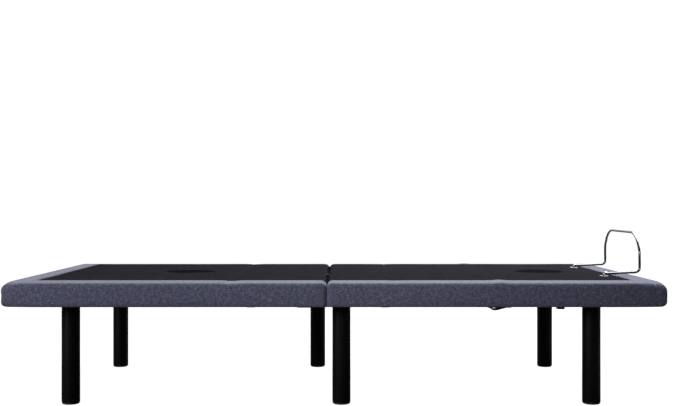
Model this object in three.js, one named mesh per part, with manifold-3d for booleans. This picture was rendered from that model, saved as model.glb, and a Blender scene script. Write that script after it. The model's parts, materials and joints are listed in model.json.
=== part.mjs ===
// Adjustable bed base that folds in the middle, on six legs. Millimetres, +Z up.
// X runs along the bed with the head end at -X, Y across it, and Z = 0 is the floor.
import * as THREE from 'three';
import { mergeVertices } from 'three/addons/utils/BufferGeometryUtils.js';
import Module from 'manifold-3d';

const wasm = await Module();
wasm.setup();

// ---------- driving dimensions ----------
const LENGTH = 2020; // a 38 x 79.5 in twin extra-long platform
const WIDTH = 965;
const TOP = 390; // top of the upholstery
const SKIRT_BOTTOM = 315; // lower edge of the upholstered rail
const FOLD_X = -22; // the joint between the two halves
const FOLD_GAP = 3; // half of the gap there
const FOLD_SET_BACK = 15; // the boards stop short there under the rounded padding
const HEAD_HINGE_X = -317;
const HIP_X = 190;
const KNEE_X = 510;
const HINGE_Z = TOP - 17;
const KNEE_Z = TOP - 34;
const FOLD_Z = TOP + 1;
const HEAD_LIFT = 60; // degrees
const FOOT_LIFT = 35;
const CALF_DROP = 15;

const GAP = 0.3; // between touching pieces
const SKIRT = 30; // thickness of the upright foam rail
const BAND = 80; // width of the upholstered band on top
const BAND_Z = TOP - 7.7;
const BORDER_EDGE = 8; // rounding of the rail's upper edge
const BORDER_CORNER = 14; // rounding of its corners seen from above
const END_BLOCK = 900; // longer than either end section
const BOARD_Z = TOP - 26;
const BOARD = 18;
const PAD = 6.7;

const RAIL_Z = 322; // lower face of the fixed steel frame
const RAIL_TOP = BOARD_Z - 0.5;
const RAIL_IN = 385;
const RAIL_OUT = 410;
const CROSS = 20; // square tube, side
const SUB_Z = BOARD_Z - 21; // lower face of the moving subframes
const SUB_TOP = BOARD_Z - 1;
const SUB_IN = 328; // moving head and thigh tubes, |Y|
const SUB_OUT = 348;
const CALF_IN = 334;
const CALF_OUT = 354;
const EAR = 5; // hinge ear plate
const PLATE_IN = 354; // fixed bracket plates, |Y|
const PLATE_OUT = 360;
const PIN_R = 5;
const PIN_HOLE_R = 5.7;
const EAR_R = 9;
const FOLD_EAR_Y = 200; // fold hinges, |Y|
const FOLD_PIN_R = 2.5;

const LEG_R = 28.5;
const LEG_Y = 360;
const HEAD_LEGS_X = -829;
const FOOT_LEGS_X = 810;
const HEAD_MIDDLE_LEG_X = -67;
const FOOT_MIDDLE_LEG_X = 23;
const GLIDE = 6;

const ROLLER_R = 15;
const SHAFT_Z = SUB_Z - ROLLER_R - GAP; // torque tubes and roller centres
const SHAFT_R = 12.5;
const JOURNAL_R = 8;
const ARM_IN = 312; // lift arms, |Y|
const ARM_OUT = 320;
const HEAD_ARM = 400;
const FOOT_ARM = 230;
const CRANK = 50;
const HEAD_CRANK_ANGLE = 28.4; // from straight down, towards the foot end
const FOOT_CRANK_ANGLE = -16.5;
const ROD_Z = SHAFT_Z - CRANK + 3;
const ROD_R = 8;
const TUBE_R = 15;

const HEAD_MOTOR_X = -505;
const FOOT_MOTOR_X = 715;
const MOTOR_R = 84;
const STAY_X = 550; // frame pivot of the calf stay
const STAY_Z = 350;
const STAY = 170;
const BAR_R = 4;

// ---------- materials ----------
function paint(colour, roughness, metalness) {
  return new THREE.MeshStandardMaterial({ color: colour, roughness, metalness });
}
const BORDER_FABRIC = paint(0x4a4a5c, 0.95, 0);
const DECK_FABRIC = paint(0x35353b, 0.95, 0);
const PLYWOOD = paint(0xb89a6c, 0.8, 0);
const FRAME_STEEL = paint(0x1a1a1c, 0.5, 0.6);
const LEG_BLACK = paint(0x0a0a0a, 0.45, 0.1);
const PLASTIC = paint(0x151517, 0.55, 0);
const ROD_STEEL = paint(0xb9bcc0, 0.3, 1);
const CHROME = paint(0xd6d8da, 0.12, 1);
const ROLLER_WHITE = paint(0xd8d8d2, 0.6, 0);

// ---------- solids ----------
function solid(geometry) {
  const g = geometry.clone();
  for (const name of Object.keys(g.attributes)) {
    if (name !== 'position') g.deleteAttribute(name);
  }
  const m = mergeVertices(g, 1e-4);
  return new wasm.Manifold(
    new wasm.Mesh({
      numProp: 3,
      vertProperties: new Float32Array(m.attributes.position.array),
      triVerts: new Uint32Array(m.index.array),
    })
  );
}

function geometryOf(manifold) {
  const mesh = manifold.getMesh();
  const g = new THREE.BufferGeometry();
  g.setAttribute('position', new THREE.BufferAttribute(mesh.vertProperties, 3));
  g.setIndex(new THREE.BufferAttribute(mesh.triVerts, 1));
  return g;
}

function union(pieces) {
  return pieces.reduce((all, piece) => all.add(piece));
}

function cut(body, pieces) {
  return pieces.reduce((all, piece) => all.subtract(piece), body);
}

function box(x0, x1, y0, y1, z0, z1) {
  const g = new THREE.BoxGeometry(x1 - x0, y1 - y0, z1 - z0);
  g.translate((x0 + x1) / 2, (y0 + y1) / 2, (z0 + z1) / 2);
  return solid(g);
}

// A round bar along an axis ('x', 'y' or 'z') from a to b, through the point p.
function bar(axis, a, b, p, radius, sides = 16) {
  const g = new THREE.CylinderGeometry(radius, radius, b - a, sides);
  if (axis === 'x') g.rotateZ(-Math.PI / 2);
  if (axis === 'z') g.rotateX(Math.PI / 2);
  const middle = (a + b) / 2;
  if (axis === 'x') g.translate(middle, p[0], p[1]);
  if (axis === 'y') g.translate(p[0], middle, p[1]);
  if (axis === 'z') g.translate(p[0], p[1], middle);
  return solid(g);
}

// An outline in X and Z, [x, z] points, made into a plate from y0 to y1.
function plate(points, y0, y1) {
  const shape = new THREE.Shape(points.map(([x, z]) => new THREE.Vector2(x, z)));
  const g = new THREE.ExtrudeGeometry(shape, { depth: y1 - y0, bevelEnabled: false });
  g.rotateX(Math.PI / 2);
  g.translate(0, y1, 0);
  return solid(g);
}

// The same solid on both sides of the bed.
function bothSides(make) {
  return union([make(1), make(-1)]);
}

function ySpan(side, a, b) {
  return side > 0 ? [a, b] : [-b, -a];
}

function sideBox(side, x0, x1, a, b, z0, z1) {
  const [y0, y1] = ySpan(side, a, b);
  return box(x0, x1, y0, y1, z0, z1);
}

function sideBar(side, a, b, p, radius, sides = 16) {
  const [y0, y1] = ySpan(side, a, b);
  return bar('y', y0, y1, p, radius, sides);
}

const deg = THREE.MathUtils.degToRad;
const assembly = new THREE.Group();

function add(name, made, material) {
  const mesh = new THREE.Mesh(geometryOf(made), material);
  mesh.name = name;
  assembly.add(mesh);
}

// ---------- upholstery ----------
// Sections along the bed. The pieces stop short of each joint by what they need to turn.
const HEAD_END = -LENGTH / 2;
const FOOT_END = LENGTH / 2;
const HEAD_TURN = Math.tan(deg(HEAD_LIFT / 2)) * (TOP - HINGE_Z) + 1;
const HIP_TURN = Math.tan(deg(FOOT_LIFT / 2)) * (TOP - HINGE_Z) + 1;
const KNEE_TURN = Math.tan(deg((FOOT_LIFT + CALF_DROP) / 2));
const SECTIONS = {
  head: [HEAD_END, HEAD_HINGE_X - HEAD_TURN],
  seat_head: [HEAD_HINGE_X + HEAD_TURN, FOLD_X - FOLD_GAP],
  seat_foot: [FOLD_X + FOLD_GAP, HIP_X - HIP_TURN],
  thigh: [HIP_X + HIP_TURN, KNEE_X - 0.5],
  calf: [KNEE_X + 0.5, FOOT_END],
};

// The wedge that a rail loses on each side of the knee so that it can close there.
function kneeWedge() {
  const depth = KNEE_Z - SKIRT_BOTTOM + 5;
  const half = depth * KNEE_TURN + 1;
  const outline = [
    [KNEE_X, KNEE_Z + 1],
    [KNEE_X - half, KNEE_Z - depth],
    [KNEE_X + half, KNEE_Z - depth],
  ];
  return plate(outline, -WIDTH, WIDTH);
}

// A straight rail: an upright foam board with a band folded inwards over the panel.
function sideRail(side, x0, x1) {
  const out = WIDTH / 2;
  const shape = new THREE.Shape();
  shape.moveTo(out - SKIRT, SKIRT_BOTTOM);
  shape.lineTo(out, SKIRT_BOTTOM);
  shape.lineTo(out, TOP - BORDER_EDGE);
  shape.absarc(out - BORDER_EDGE, TOP - BORDER_EDGE, BORDER_EDGE, 0, Math.PI / 2, false);
  shape.lineTo(out - BAND, TOP);
  shape.lineTo(out - BAND, BAND_Z);
  shape.lineTo(out - SKIRT, BAND_Z);
  const length = { depth: x1 - x0, bevelEnabled: false, curveSegments: 5 };
  const g = new THREE.ExtrudeGeometry(shape, length);
  g.rotateX(Math.PI / 2);
  g.rotateZ(Math.PI / 2);
  g.translate(x0, 0, 0);
  const rail = solid(g);
  return side > 0 ? rail : rail.mirror([0, 1, 0]);
}

// The outline of an end section seen from above, less the rounding of its upper edge.
function endOutline(end, sign) {
  const start = end - sign * END_BLOCK;
  const w = WIDTH / 2 - BORDER_EDGE;
  const far = end - sign * BORDER_EDGE;
  const r = BORDER_CORNER - BORDER_EDGE;
  const shape = new THREE.Shape();
  shape.moveTo(start, -w);
  shape.lineTo(far - sign * r, -w);
  shape.quadraticCurveTo(far, -w, far, -w + r);
  shape.lineTo(far, w - r);
  shape.quadraticCurveTo(far, w, far - sign * r, w);
  shape.lineTo(start, w);
  return shape;
}

// A box between two places along the bed, given in either order.
function boxAlong(xa, xb, half, z0, z1) {
  return box(Math.min(xa, xb), Math.max(xa, xb), -half, half, z0, z1);
}

// The rail round an end section: two sides and the end, with rounded corners.
function endRail(end, joint) {
  const sign = Math.sign(end - joint);
  const g = new THREE.ExtrudeGeometry(endOutline(end, sign), {
    depth: TOP - SKIRT_BOTTOM,
    bevelThickness: BORDER_EDGE,
    bevelSize: BORDER_EDGE,
    bevelSegments: 5,
    curveSegments: 4,
  });
  g.translate(0, 0, SKIRT_BOTTOM - BORDER_EDGE);
  const past = joint - sign * 50;
  const keep = boxAlong(joint, end + sign * 5, WIDTH, SKIRT_BOTTOM, TOP + 5);
  const under = boxAlong(end - sign * SKIRT, past, WIDTH / 2 - SKIRT, 0, BAND_Z);
  const middle = boxAlong(end - sign * BAND, past, WIDTH / 2 - BAND, BAND_Z - 1, TOP + 20);
  return cut(solid(g).intersect(keep), [under, middle]);
}

function upholstery() {
  const { head, seat_head, seat_foot, thigh, calf } = SECTIONS;
  add('head_border', endRail(head[0], head[1]), BORDER_FABRIC);
  add('calf_border', cut(endRail(calf[1], calf[0]), [kneeWedge()]), BORDER_FABRIC);
  for (const [side, label] of [[-1, 'near'], [1, 'far']]) {
    add(`head_seat_border_${label}`, sideRail(side, seat_head[0], seat_head[1]), BORDER_FABRIC);
    add(`foot_seat_border_${label}`, sideRail(side, seat_foot[0], seat_foot[1]), BORDER_FABRIC);
    const thighRail = cut(sideRail(side, thigh[0], thigh[1]), [kneeWedge()]);
    add(`thigh_border_${label}`, thighRail, BORDER_FABRIC);
  }
}

// ---------- panels ----------
// The hinge brackets pass through notches at the panel ends, and the fold ears too.
function notch(x, depth, a, b) {
  return bothSides((side) => sideBox(side, x - depth, x + depth, a, b, BOARD_Z - 5, TOP + 10));
}

function hingeNotch(x) {
  return notch(x, 34, SUB_OUT - 3, PLATE_OUT + 3);
}

function foldNotch() {
  return notch(FOLD_X, 30, FOLD_EAR_Y - 9, FOLD_EAR_Y + 9);
}

function board(x0, x1, cuts) {
  const half = WIDTH / 2 - SKIRT - 0.5;
  return cut(box(x0, x1, -half, half, BOARD_Z, BOARD_Z + BOARD), cuts);
}

function pad(x0, x1, cuts) {
  const half = WIDTH / 2 - BAND - 0.5;
  return cut(box(x0, x1, -half, half, BAND_Z, BAND_Z + PAD), cuts);
}

function panels() {
  const { head, seat_head, seat_foot, thigh, calf } = SECTIONS;
  const motorHole = (x) => bar('z', BOARD_Z - 5, BOARD_Z + BOARD + 1, [x, 0], MOTOR_R + 4, 32);
  const inEnd = SKIRT + 0.5;
  const inBand = BAND + 0.5;
  const headCuts = [hingeNotch(HEAD_HINGE_X), motorHole(HEAD_MOTOR_X)];
  const headSeatCuts = [hingeNotch(HEAD_HINGE_X), foldNotch()];
  const footSeatCuts = [hingeNotch(HIP_X), foldNotch()];
  add('head_board', board(head[0] + inEnd, head[1], headCuts), PLYWOOD);
  add('head_seat_board', board(seat_head[0], seat_head[1] - FOLD_SET_BACK, headSeatCuts), PLYWOOD);
  add('foot_seat_board', board(seat_foot[0] + FOLD_SET_BACK, seat_foot[1], footSeatCuts), PLYWOOD);
  add('thigh_board', board(thigh[0], thigh[1], [hingeNotch(HIP_X)]), PLYWOOD);
  add('calf_board', board(calf[0], calf[1] - inEnd, [motorHole(FOOT_MOTOR_X)]), PLYWOOD);
  add('head_pad', pad(head[0] + inBand, head[1], []), DECK_FABRIC);
  add('head_seat_pad', pad(seat_head[0], seat_head[1], [foldNotch()]), DECK_FABRIC);
  add('foot_seat_pad', pad(seat_foot[0], seat_foot[1], [foldNotch()]), DECK_FABRIC);
  add('thigh_pad', pad(thigh[0], thigh[1], []), DECK_FABRIC);
  add('calf_pad', pad(calf[0], calf[1] - inBand, []), DECK_FABRIC);
}

// ---------- fixed frames ----------
// A plate on the frame that carries a panel hinge above and the torque tube below.
function hingeBracket(side, x, towards) {
  const outline = [
    [x - 16, SHAFT_Z - 15],
    [x + 16, SHAFT_Z - 15],
    [x + 16, HINGE_Z - 4],
    [x + 8, HINGE_Z + 8],
    [x - 8, HINGE_Z + 8],
    [x - 16, HINGE_Z - 4],
  ];
  const [y0, y1] = ySpan(side, PLATE_IN, PLATE_OUT);
  const middle = x + towards * 11;
  const [z0, z1] = [SHAFT_Z + 12, RAIL_TOP - 1];
  const body = union([
    plate(outline, y0, y1),
    sideBox(side, middle - 5, middle + 5, PLATE_OUT - 1, RAIL_IN + 1, z0, z1),
  ]);
  return cut(body, [
    sideBar(side, PLATE_IN - 2, PLATE_OUT + 0.5, [x, HINGE_Z], PIN_HOLE_R),
    sideBar(side, PLATE_IN - 2, PLATE_OUT + 0.5, [x, SHAFT_Z], JOURNAL_R + 0.7),
  ]);
}

// Half of a fold hinge: a plate rising from the frame's end tube to the fold axis.
function foldEar(side, towards) {
  const x = (a) => FOLD_X + towards * a;
  const outline = [
    [x(26), RAIL_Z + 4],
    [x(6), RAIL_Z + 4],
    [x(4), FOLD_Z - 14],
    [x(-4.5), FOLD_Z - 4],
    [x(-4.5), FOLD_Z + 2.5],
    [x(-2), FOLD_Z + 4.5],
    [x(3), FOLD_Z + 4.5],
    [x(22), FOLD_Z - 12],
    [x(26), FOLD_Z - 20],
  ];
  const points = towards > 0 ? outline : outline.slice().reverse();
  const offset = towards > 0 ? 0.5 : -5.5;
  const [y0, y1] = ySpan(side, FOLD_EAR_Y + offset, FOLD_EAR_Y + offset + 5);
  return plate(points, y0, y1);
}

function legSocket(x, y) {
  const [inner, outer] = [LEG_Y - 27, RAIL_OUT - 5];
  const square = sideBox(Math.sign(y), x - 42, x + 42, inner, outer, RAIL_Z - 5.5, RAIL_Z + 0.5);
  return cut(square, [bar('z', RAIL_Z - 8, RAIL_Z + 3, [x, y], PIN_HOLE_R)]);
}

function sideRailTubes(x0, x1) {
  return bothSides((side) => sideBox(side, x0, x1, RAIL_IN, RAIL_OUT, RAIL_Z, RAIL_TOP));
}

function crossTube(x, z1 = RAIL_Z + CROSS) {
  return box(x - CROSS / 2, x + CROSS / 2, -RAIL_IN - 5, RAIL_IN + 5, RAIL_Z, z1);
}

// Two lugs under a cross tube that hold the rear end of an actuator.
function clevis(x, towards) {
  const reach = x + towards * 22;
  const xs = [x - towards * 8, reach].sort((a, b) => a - b);
  const lug = (y0) => box(xs[0], xs[1], y0, y0 + 5, ROD_Z - 9, RAIL_Z + 4);
  const pin = bar('y', -15, 15, [x + towards * 14, ROD_Z], PIN_R);
  return union([lug(-14), lug(9), pin]);
}

const HEAD_CLEVIS_X = FOLD_X - 18;
const FOOT_CLEVIS_X = 642;

function headFrame() {
  const x0 = HEAD_LEGS_X - 30;
  const sockets = [
    legSocket(HEAD_LEGS_X, LEG_Y),
    legSocket(HEAD_LEGS_X, -LEG_Y),
    legSocket(HEAD_MIDDLE_LEG_X, LEG_Y),
  ];
  return union([
    sideRailTubes(x0, FOLD_X - 6),
    crossTube(x0 + CROSS / 2),
    crossTube(-220),
    crossTube(HEAD_CLEVIS_X, RAIL_TOP),
    bothSides((side) => hingeBracket(side, HEAD_HINGE_X, 1)),
    bothSides((side) => foldEar(side, -1)),
    clevis(HEAD_CLEVIS_X, -1),
    ...sockets,
  ]).subtract(foldPinHoles());
}

function footFrame() {
  const x1 = FOOT_LEGS_X + 33;
  const sockets = [
    legSocket(FOOT_LEGS_X, LEG_Y),
    legSocket(FOOT_LEGS_X, -LEG_Y),
    legSocket(FOOT_MIDDLE_LEG_X, -LEG_Y),
  ];
  const stayStub = (side) => sideBar(side, 362, RAIL_IN + 2, [STAY_X, STAY_Z], PIN_R);
  return union([
    sideRailTubes(FOLD_X + 6, x1),
    crossTube(FOLD_X + 18, RAIL_TOP),
    crossTube(FOOT_CLEVIS_X),
    crossTube(792),
    bothSides((side) => hingeBracket(side, HIP_X, -1)),
    bothSides((side) => foldEar(side, 1)),
    bothSides(stayStub),
    clevis(FOOT_CLEVIS_X, -1),
    ...sockets,
  ]).subtract(foldPinHoles());
}

function foldPinHoles() {
  const at = [FOLD_X, FOLD_Z];
  return bothSides((side) => sideBar(side, FOLD_EAR_Y - 8, FOLD_EAR_Y + 8, at, FOLD_PIN_R + 0.4));
}

function foldPin(side) {
  const at = [FOLD_X, FOLD_Z];
  return union([
    sideBar(side, FOLD_EAR_Y - 6, FOLD_EAR_Y + 6, at, FOLD_PIN_R),
    sideBar(side, FOLD_EAR_Y - 8, FOLD_EAR_Y - 5.8, at, 5),
    sideBar(side, FOLD_EAR_Y + 5.8, FOLD_EAR_Y + 8, at, 5),
  ]);
}

function frames() {
  add('head_frame', headFrame(), FRAME_STEEL);
  add('foot_frame', footFrame(), FRAME_STEEL);
  add('fold_pin_near', foldPin(-1), ROD_STEEL);
  add('fold_pin_far', foldPin(1), ROD_STEEL);
}

// ---------- legs ----------
// A tube closed by a cap with a stud above, and open below for its glide.
function legTube() {
  const top = RAIL_Z - 6;
  const profile = [
    [0, top - 8],
    [LEG_R - 2.5, top - 8],
    [LEG_R - 2.5, GLIDE + 0.4],
    [LEG_R, GLIDE + 0.4],
    [LEG_R, top - 1.5],
    [LEG_R - 1.5, top],
    [PIN_R, top],
    [PIN_R, top + 15],
    [0, top + 15],
  ];
  return lathe(profile, 20);
}

function glide() {
  const profile = [
    [0, 0],
    [LEG_R - 3, 0],
    [LEG_R - 0.5, 2.5],
    [LEG_R - 0.5, GLIDE],
    [LEG_R - 3, GLIDE],
    [LEG_R - 3, 22],
    [0, 22],
  ];
  return lathe(profile, 20);
}

function lathe(profile, segments) {
  const g = new THREE.LatheGeometry(profile.map(([r, z]) => new THREE.Vector2(r, z)), segments);
  g.rotateX(Math.PI / 2);
  return solid(g);
}

const LEGS = [
  ['head_leg_near', HEAD_LEGS_X, -LEG_Y],
  ['head_leg_far', HEAD_LEGS_X, LEG_Y],
  ['head_middle_leg_far', HEAD_MIDDLE_LEG_X, LEG_Y],
  ['foot_middle_leg_near', FOOT_MIDDLE_LEG_X, -LEG_Y],
  ['foot_leg_near', FOOT_LEGS_X, -LEG_Y],
  ['foot_leg_far', FOOT_LEGS_X, LEG_Y],
];

function legs() {
  for (const [name, x, y] of LEGS) {
    add(name, legTube().translate([x, y, 0]), LEG_BLACK);
    add(name.replace('leg', 'glide'), glide().translate([x, y, 0]), PLASTIC);
  }
}

// ---------- moving subframes ----------
function tubes(x0, x1, a, b) {
  return bothSides((side) => sideBox(side, x0, x1, a, b, SUB_Z, SUB_TOP));
}

function subCross(x, reach) {
  return box(x - CROSS / 2, x + CROSS / 2, -reach, reach, SUB_Z, SUB_TOP);
}

// A flat strap in place of a tube where the lift arms come close under the panel.
function subStrap(x, reach) {
  return box(x - 11, x + 11, -reach, reach, SUB_TOP - 4, SUB_TOP);
}

// An ear from a tube's outer face to a hinge axis, with a pin standing out of it.
function hingeEar(side, x, z, towards, a, sunk = 2) {
  const [y0, y1] = ySpan(side, a - sunk, a + EAR);
  const far = x + towards * 26;
  const low = SUB_Z + 1;
  const shape = [
    [x - towards * EAR_R * 0.6, z - EAR_R * 0.5],
    [x - towards * EAR_R * 0.6, z + 5],
    [x, z + EAR_R - 2],
    [x + towards * EAR_R, z + 5],
    [far, low + 16],
    [far, low],
    [x + towards * 2, Math.min(low, z - EAR_R + 1)],
  ];
  const points = towards < 0 ? shape : shape.reverse();
  return plate(points, y0, y1);
}

function headSubframe() {
  const x1 = HEAD_HINGE_X - 16;
  return union([
    tubes(-930, x1, SUB_IN, SUB_OUT),
    subCross(-920, SUB_IN + 5),
    subCross(-660, SUB_IN + 5),
    subStrap(x1 - 22, SUB_IN + 5),
    bothSides((side) => hingeEar(side, HEAD_HINGE_X, HINGE_Z, -1, SUB_OUT)),
    bothSides((side) => sideBar(side, SUB_OUT + 1, PLATE_OUT + 2, [HEAD_HINGE_X, HINGE_Z], PIN_R)),
  ]);
}

function thighSubframe() {
  const x0 = HIP_X + 16;
  const x1 = KNEE_X - 12;
  return union([
    tubes(x0, x1, SUB_IN, SUB_OUT),
    subCross(x0 + 22, SUB_IN + 5),
    subCross(x1 - 20, SUB_IN + 5),
    bothSides((side) => hingeEar(side, HIP_X, HINGE_Z, 1, SUB_OUT)),
    bothSides((side) => sideBar(side, SUB_OUT + 1, PLATE_OUT + 2, [HIP_X, HINGE_Z], PIN_R)),
    bothSides((side) => hingeEar(side, KNEE_X, KNEE_Z, -1, SUB_OUT)),
    bothSides((side) => sideBar(side, SUB_OUT + 1, CALF_OUT + EAR + 1, [KNEE_X, KNEE_Z], PIN_R)),
  ]);
}

function calfSubframe() {
  const x0 = KNEE_X + 17;
  const stub = (side) => sideBar(side, CALF_OUT - 3, 369, [STAY_END, STAY_Z - 2], PIN_R);
  const body = union([
    tubes(x0, 940, CALF_IN, CALF_OUT),
    subCross(x0 + 33, CALF_IN + 5),
    subCross(930, CALF_IN + 5),
    bothSides((side) => hingeEar(side, KNEE_X, KNEE_Z, 1, CALF_OUT, 0.5)),
    bothSides(stub),
  ]);
  const hole = bothSides((side) =>
    sideBar(side, CALF_OUT - 1, CALF_OUT + EAR + 1, [KNEE_X, KNEE_Z], PIN_HOLE_R)
  );
  return body.subtract(hole);
}

function subframes() {
  add('head_subframe', headSubframe(), FRAME_STEEL);
  add('thigh_subframe', thighSubframe(), FRAME_STEEL);
  add('calf_subframe', calfSubframe(), FRAME_STEEL);
}

// ---------- lift arms ----------
// A torque tube with two arms to the rollers and one crank hanging down in the middle.
function liftArm(x, towards, reach, crankAngle) {
  const end = x + towards * reach;
  const [x0, x1] = [Math.min(x, end), Math.max(x, end)];
  const angle = deg(crankAngle);
  const pin = [x + CRANK * Math.sin(angle), SHAFT_Z - CRANK * Math.cos(angle)];
  const arms = (side) => sideBox(side, x0, x1, ARM_IN, ARM_OUT, SHAFT_Z - 9, SHAFT_Z + 7);
  const axle = (side) => sideBar(side, 318, 346, [end, SHAFT_Z], PIN_R);
  const journal = (side) => sideBar(side, 340, PLATE_OUT + 3, [x, SHAFT_Z], JOURNAL_R);
  return union([
    bar('y', -348, 348, [x, SHAFT_Z], SHAFT_R, 20),
    bothSides(arms),
    bothSides(axle),
    bothSides(journal),
    crankPlate(x, pin),
    bar('y', -9, 6, pin, PIN_R),
  ]);
}

function crankPlate(x, pin) {
  const along = new THREE.Vector2(pin[0] - x, pin[1] - SHAFT_Z).normalize();
  const side = new THREE.Vector2(-along.y, along.x);
  const at = (a, b, base) => [
    base[0] + along.x * a + side.x * b,
    base[1] + along.y * a + side.y * b,
  ];
  const root = [x, SHAFT_Z];
  const outline = [
    at(0, -11, root),
    at(-2, -9, pin),
    at(7, -6, pin),
    at(7, 6, pin),
    at(-2, 9, pin),
    at(0, 11, root),
  ];
  return plate(outline, 5, 13);
}

function roller(side, x) {
  const ring = sideBar(side, 323, 345, [x, SHAFT_Z], ROLLER_R, 24);
  return cut(ring, [sideBar(side, 320, 348, [x, SHAFT_Z], PIN_HOLE_R)]);
}

function lifts() {
  add('head_lift_arm', liftArm(HEAD_HINGE_X, -1, HEAD_ARM, HEAD_CRANK_ANGLE), FRAME_STEEL);
  add('foot_lift_arm', liftArm(HIP_X, 1, FOOT_ARM, FOOT_CRANK_ANGLE), FRAME_STEEL);
  for (const [side, label] of [[-1, 'near'], [1, 'far']]) {
    add(`head_roller_${label}`, roller(side, HEAD_HINGE_X - HEAD_ARM), ROLLER_WHITE);
    add(`foot_roller_${label}`, roller(side, HIP_X + FOOT_ARM), ROLLER_WHITE);
  }
}

// ---------- actuators ----------
// A rod with a slotted eye on the crank pin.
function rod(pinX, end) {
  const towards = Math.sign(end - pinX);
  const eye = [
    [pinX - 13, ROD_Z - 16],
    [pinX + 13, ROD_Z - 16],
    [pinX + 22, ROD_Z - 7],
    [pinX + 22, ROD_Z + 7],
    [pinX + 13, ROD_Z + 16],
    [pinX - 13, ROD_Z + 16],
    [pinX - 22, ROD_Z + 7],
    [pinX - 22, ROD_Z - 7],
  ];
  const slot = [
    [pinX - 6.4, ROD_Z - 10],
    [pinX + 6.4, ROD_Z - 10],
    [pinX + 6.4, ROD_Z + 10],
    [pinX - 6.4, ROD_Z + 10],
  ];
  const xs = [pinX + towards * 16, end].sort((a, b) => a - b);
  const shaft = bar('x', xs[0], xs[1], [0, ROD_Z], ROD_R);
  return union([plate(eye, -5, 3), shaft]).subtract(plate(slot, -12, 12));
}

// The outer tube, gearbox and rear lug of an actuator in one casting.
function actuatorBody(mouth, gearbox, lug) {
  const towards = Math.sign(lug - mouth);
  const gx = [gearbox, lug - towards * 12].sort((a, b) => a - b);
  const tx = [mouth, gearbox + towards * 10].sort((a, b) => a - b);
  const lx = [lug - towards * 20, lug + towards * 9].sort((a, b) => a - b);
  const bore = [mouth - towards * 2, gearbox - towards * 6].sort((a, b) => a - b);
  const body = union([
    bar('x', tx[0], tx[1], [0, ROD_Z], TUBE_R, 20),
    box(gx[0], gx[1], -22, 22, ROD_Z - 15, ROD_Z + 32),
    box(lx[0], lx[1], -8, 8, ROD_Z - 8, ROD_Z + 8),
  ]);
  return cut(body, [
    bar('x', bore[0], bore[1], [0, ROD_Z], ROD_R + 1),
    bar('y', -20, 20, [lug, ROD_Z], PIN_HOLE_R),
  ]);
}

function motor(x) {
  const at = [x, ROD_Z + 12];
  return union([bar('y', 22.3, 118, at, 22, 20), bar('y', 117, 124, at, 12, 20)]);
}

// The cable guard under the foot gearbox: a shallow V with its lowest point near the front.
function motorGuard(x) {
  const z = ROD_Z - 14;
  const outline = [
    [x - 24, z],
    [x - 6, z - 11],
    [x + 6, z - 11],
    [x + 48, z],
    [x + 26, z],
    [x + 3, z - 6],
    [x - 4, z - 6],
    [x - 12, z],
  ];
  return union([plate(outline, -14, 14), box(x - 24, x + 48, -14, 14, z - 2, z)]);
}

function actuators() {
  const headPin = HEAD_HINGE_X + CRANK * Math.sin(deg(HEAD_CRANK_ANGLE));
  const footPin = HIP_X + CRANK * Math.sin(deg(FOOT_CRANK_ANGLE));
  const headLug = HEAD_CLEVIS_X - 14;
  const footLug = FOOT_CLEVIS_X - 14;
  add('head_actuator_rod', rod(headPin, headPin + 150), ROD_STEEL);
  add('head_actuator_body', actuatorBody(headPin + 34, headLug - 76, headLug), PLASTIC);
  add('head_actuator_motor', motor(headLug - 46), PLASTIC);
  add('foot_actuator_rod', rod(footPin, footPin + 290), ROD_STEEL);
  const footBody = actuatorBody(footPin + 110, footLug - 82, footLug);
  add('foot_actuator_body', footBody.add(motorGuard(footLug - 68)), PLASTIC);
  add('foot_actuator_motor', motor(footLug - 50), PLASTIC);
}

// ---------- calf stay ----------
const STAY_IN = 362.5; // links, |Y|
const STAY_OUT = 368.5;
const STAY_END = STAY_X + STAY;

// A link, with a lobe under it for the spreader and a raised belly that clears the cross tube.
function stayLink(side) {
  const z = STAY_Z - 1;
  const [y0, y1] = ySpan(side, STAY_IN, STAY_OUT);
  const outline = [
    [STAY_X - 9, z - 5],
    [STAY_X - 5, z - 9],
    [STAY_X + 5, z - 9],
    [STAY_X + 14, z - 5],
    [STAY_X + 34, z - 5],
    [STAY_X + 38, z - 17],
    [STAY_X + 52, z - 17],
    [STAY_X + 56, z - 5],
    [STAY_END - 22, z - 5],
    [STAY_END - 9, z - 13],
    [STAY_END + 9, z - 13],
    [STAY_END + 14, z - 6],
    [STAY_END + 14, z + 6],
    [STAY_END + 8, z + 10],
    [STAY_END - 8, z + 10],
    [STAY_X + 8, z + 10],
    [STAY_X - 8, z + 8],
  ];
  return plate(outline, y0, y1);
}

function stayHoles(side) {
  const past = (at, radius) => sideBar(side, STAY_IN - 7, STAY_OUT + 2, at, radius);
  return union([past([STAY_X, STAY_Z], PIN_HOLE_R), past([STAY_END, STAY_Z - 2], 9)]);
}

// Two links joined by a spreader bar, from the foot frame to the calf section.
function calfStay() {
  const spreader = bar('y', -STAY_OUT + 3, STAY_OUT - 3, [STAY_X + 45, STAY_Z - 13.5], 5.5, 12);
  return union([bothSides(stayLink), spreader]).subtract(bothSides(stayHoles));
}

// ---------- massage motors ----------
function massageHousing(x) {
  const top = BOARD_Z + BOARD;
  const profile = [
    [0, top - 6],
    [MOTOR_R - 6, top - 6],
    [MOTOR_R - 6, SUB_Z + 8],
    [MOTOR_R, SUB_Z + 8],
    [MOTOR_R, top],
    [0, top],
  ];
  return lathe(profile, 32).translate([x, 0, 0]);
}

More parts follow.
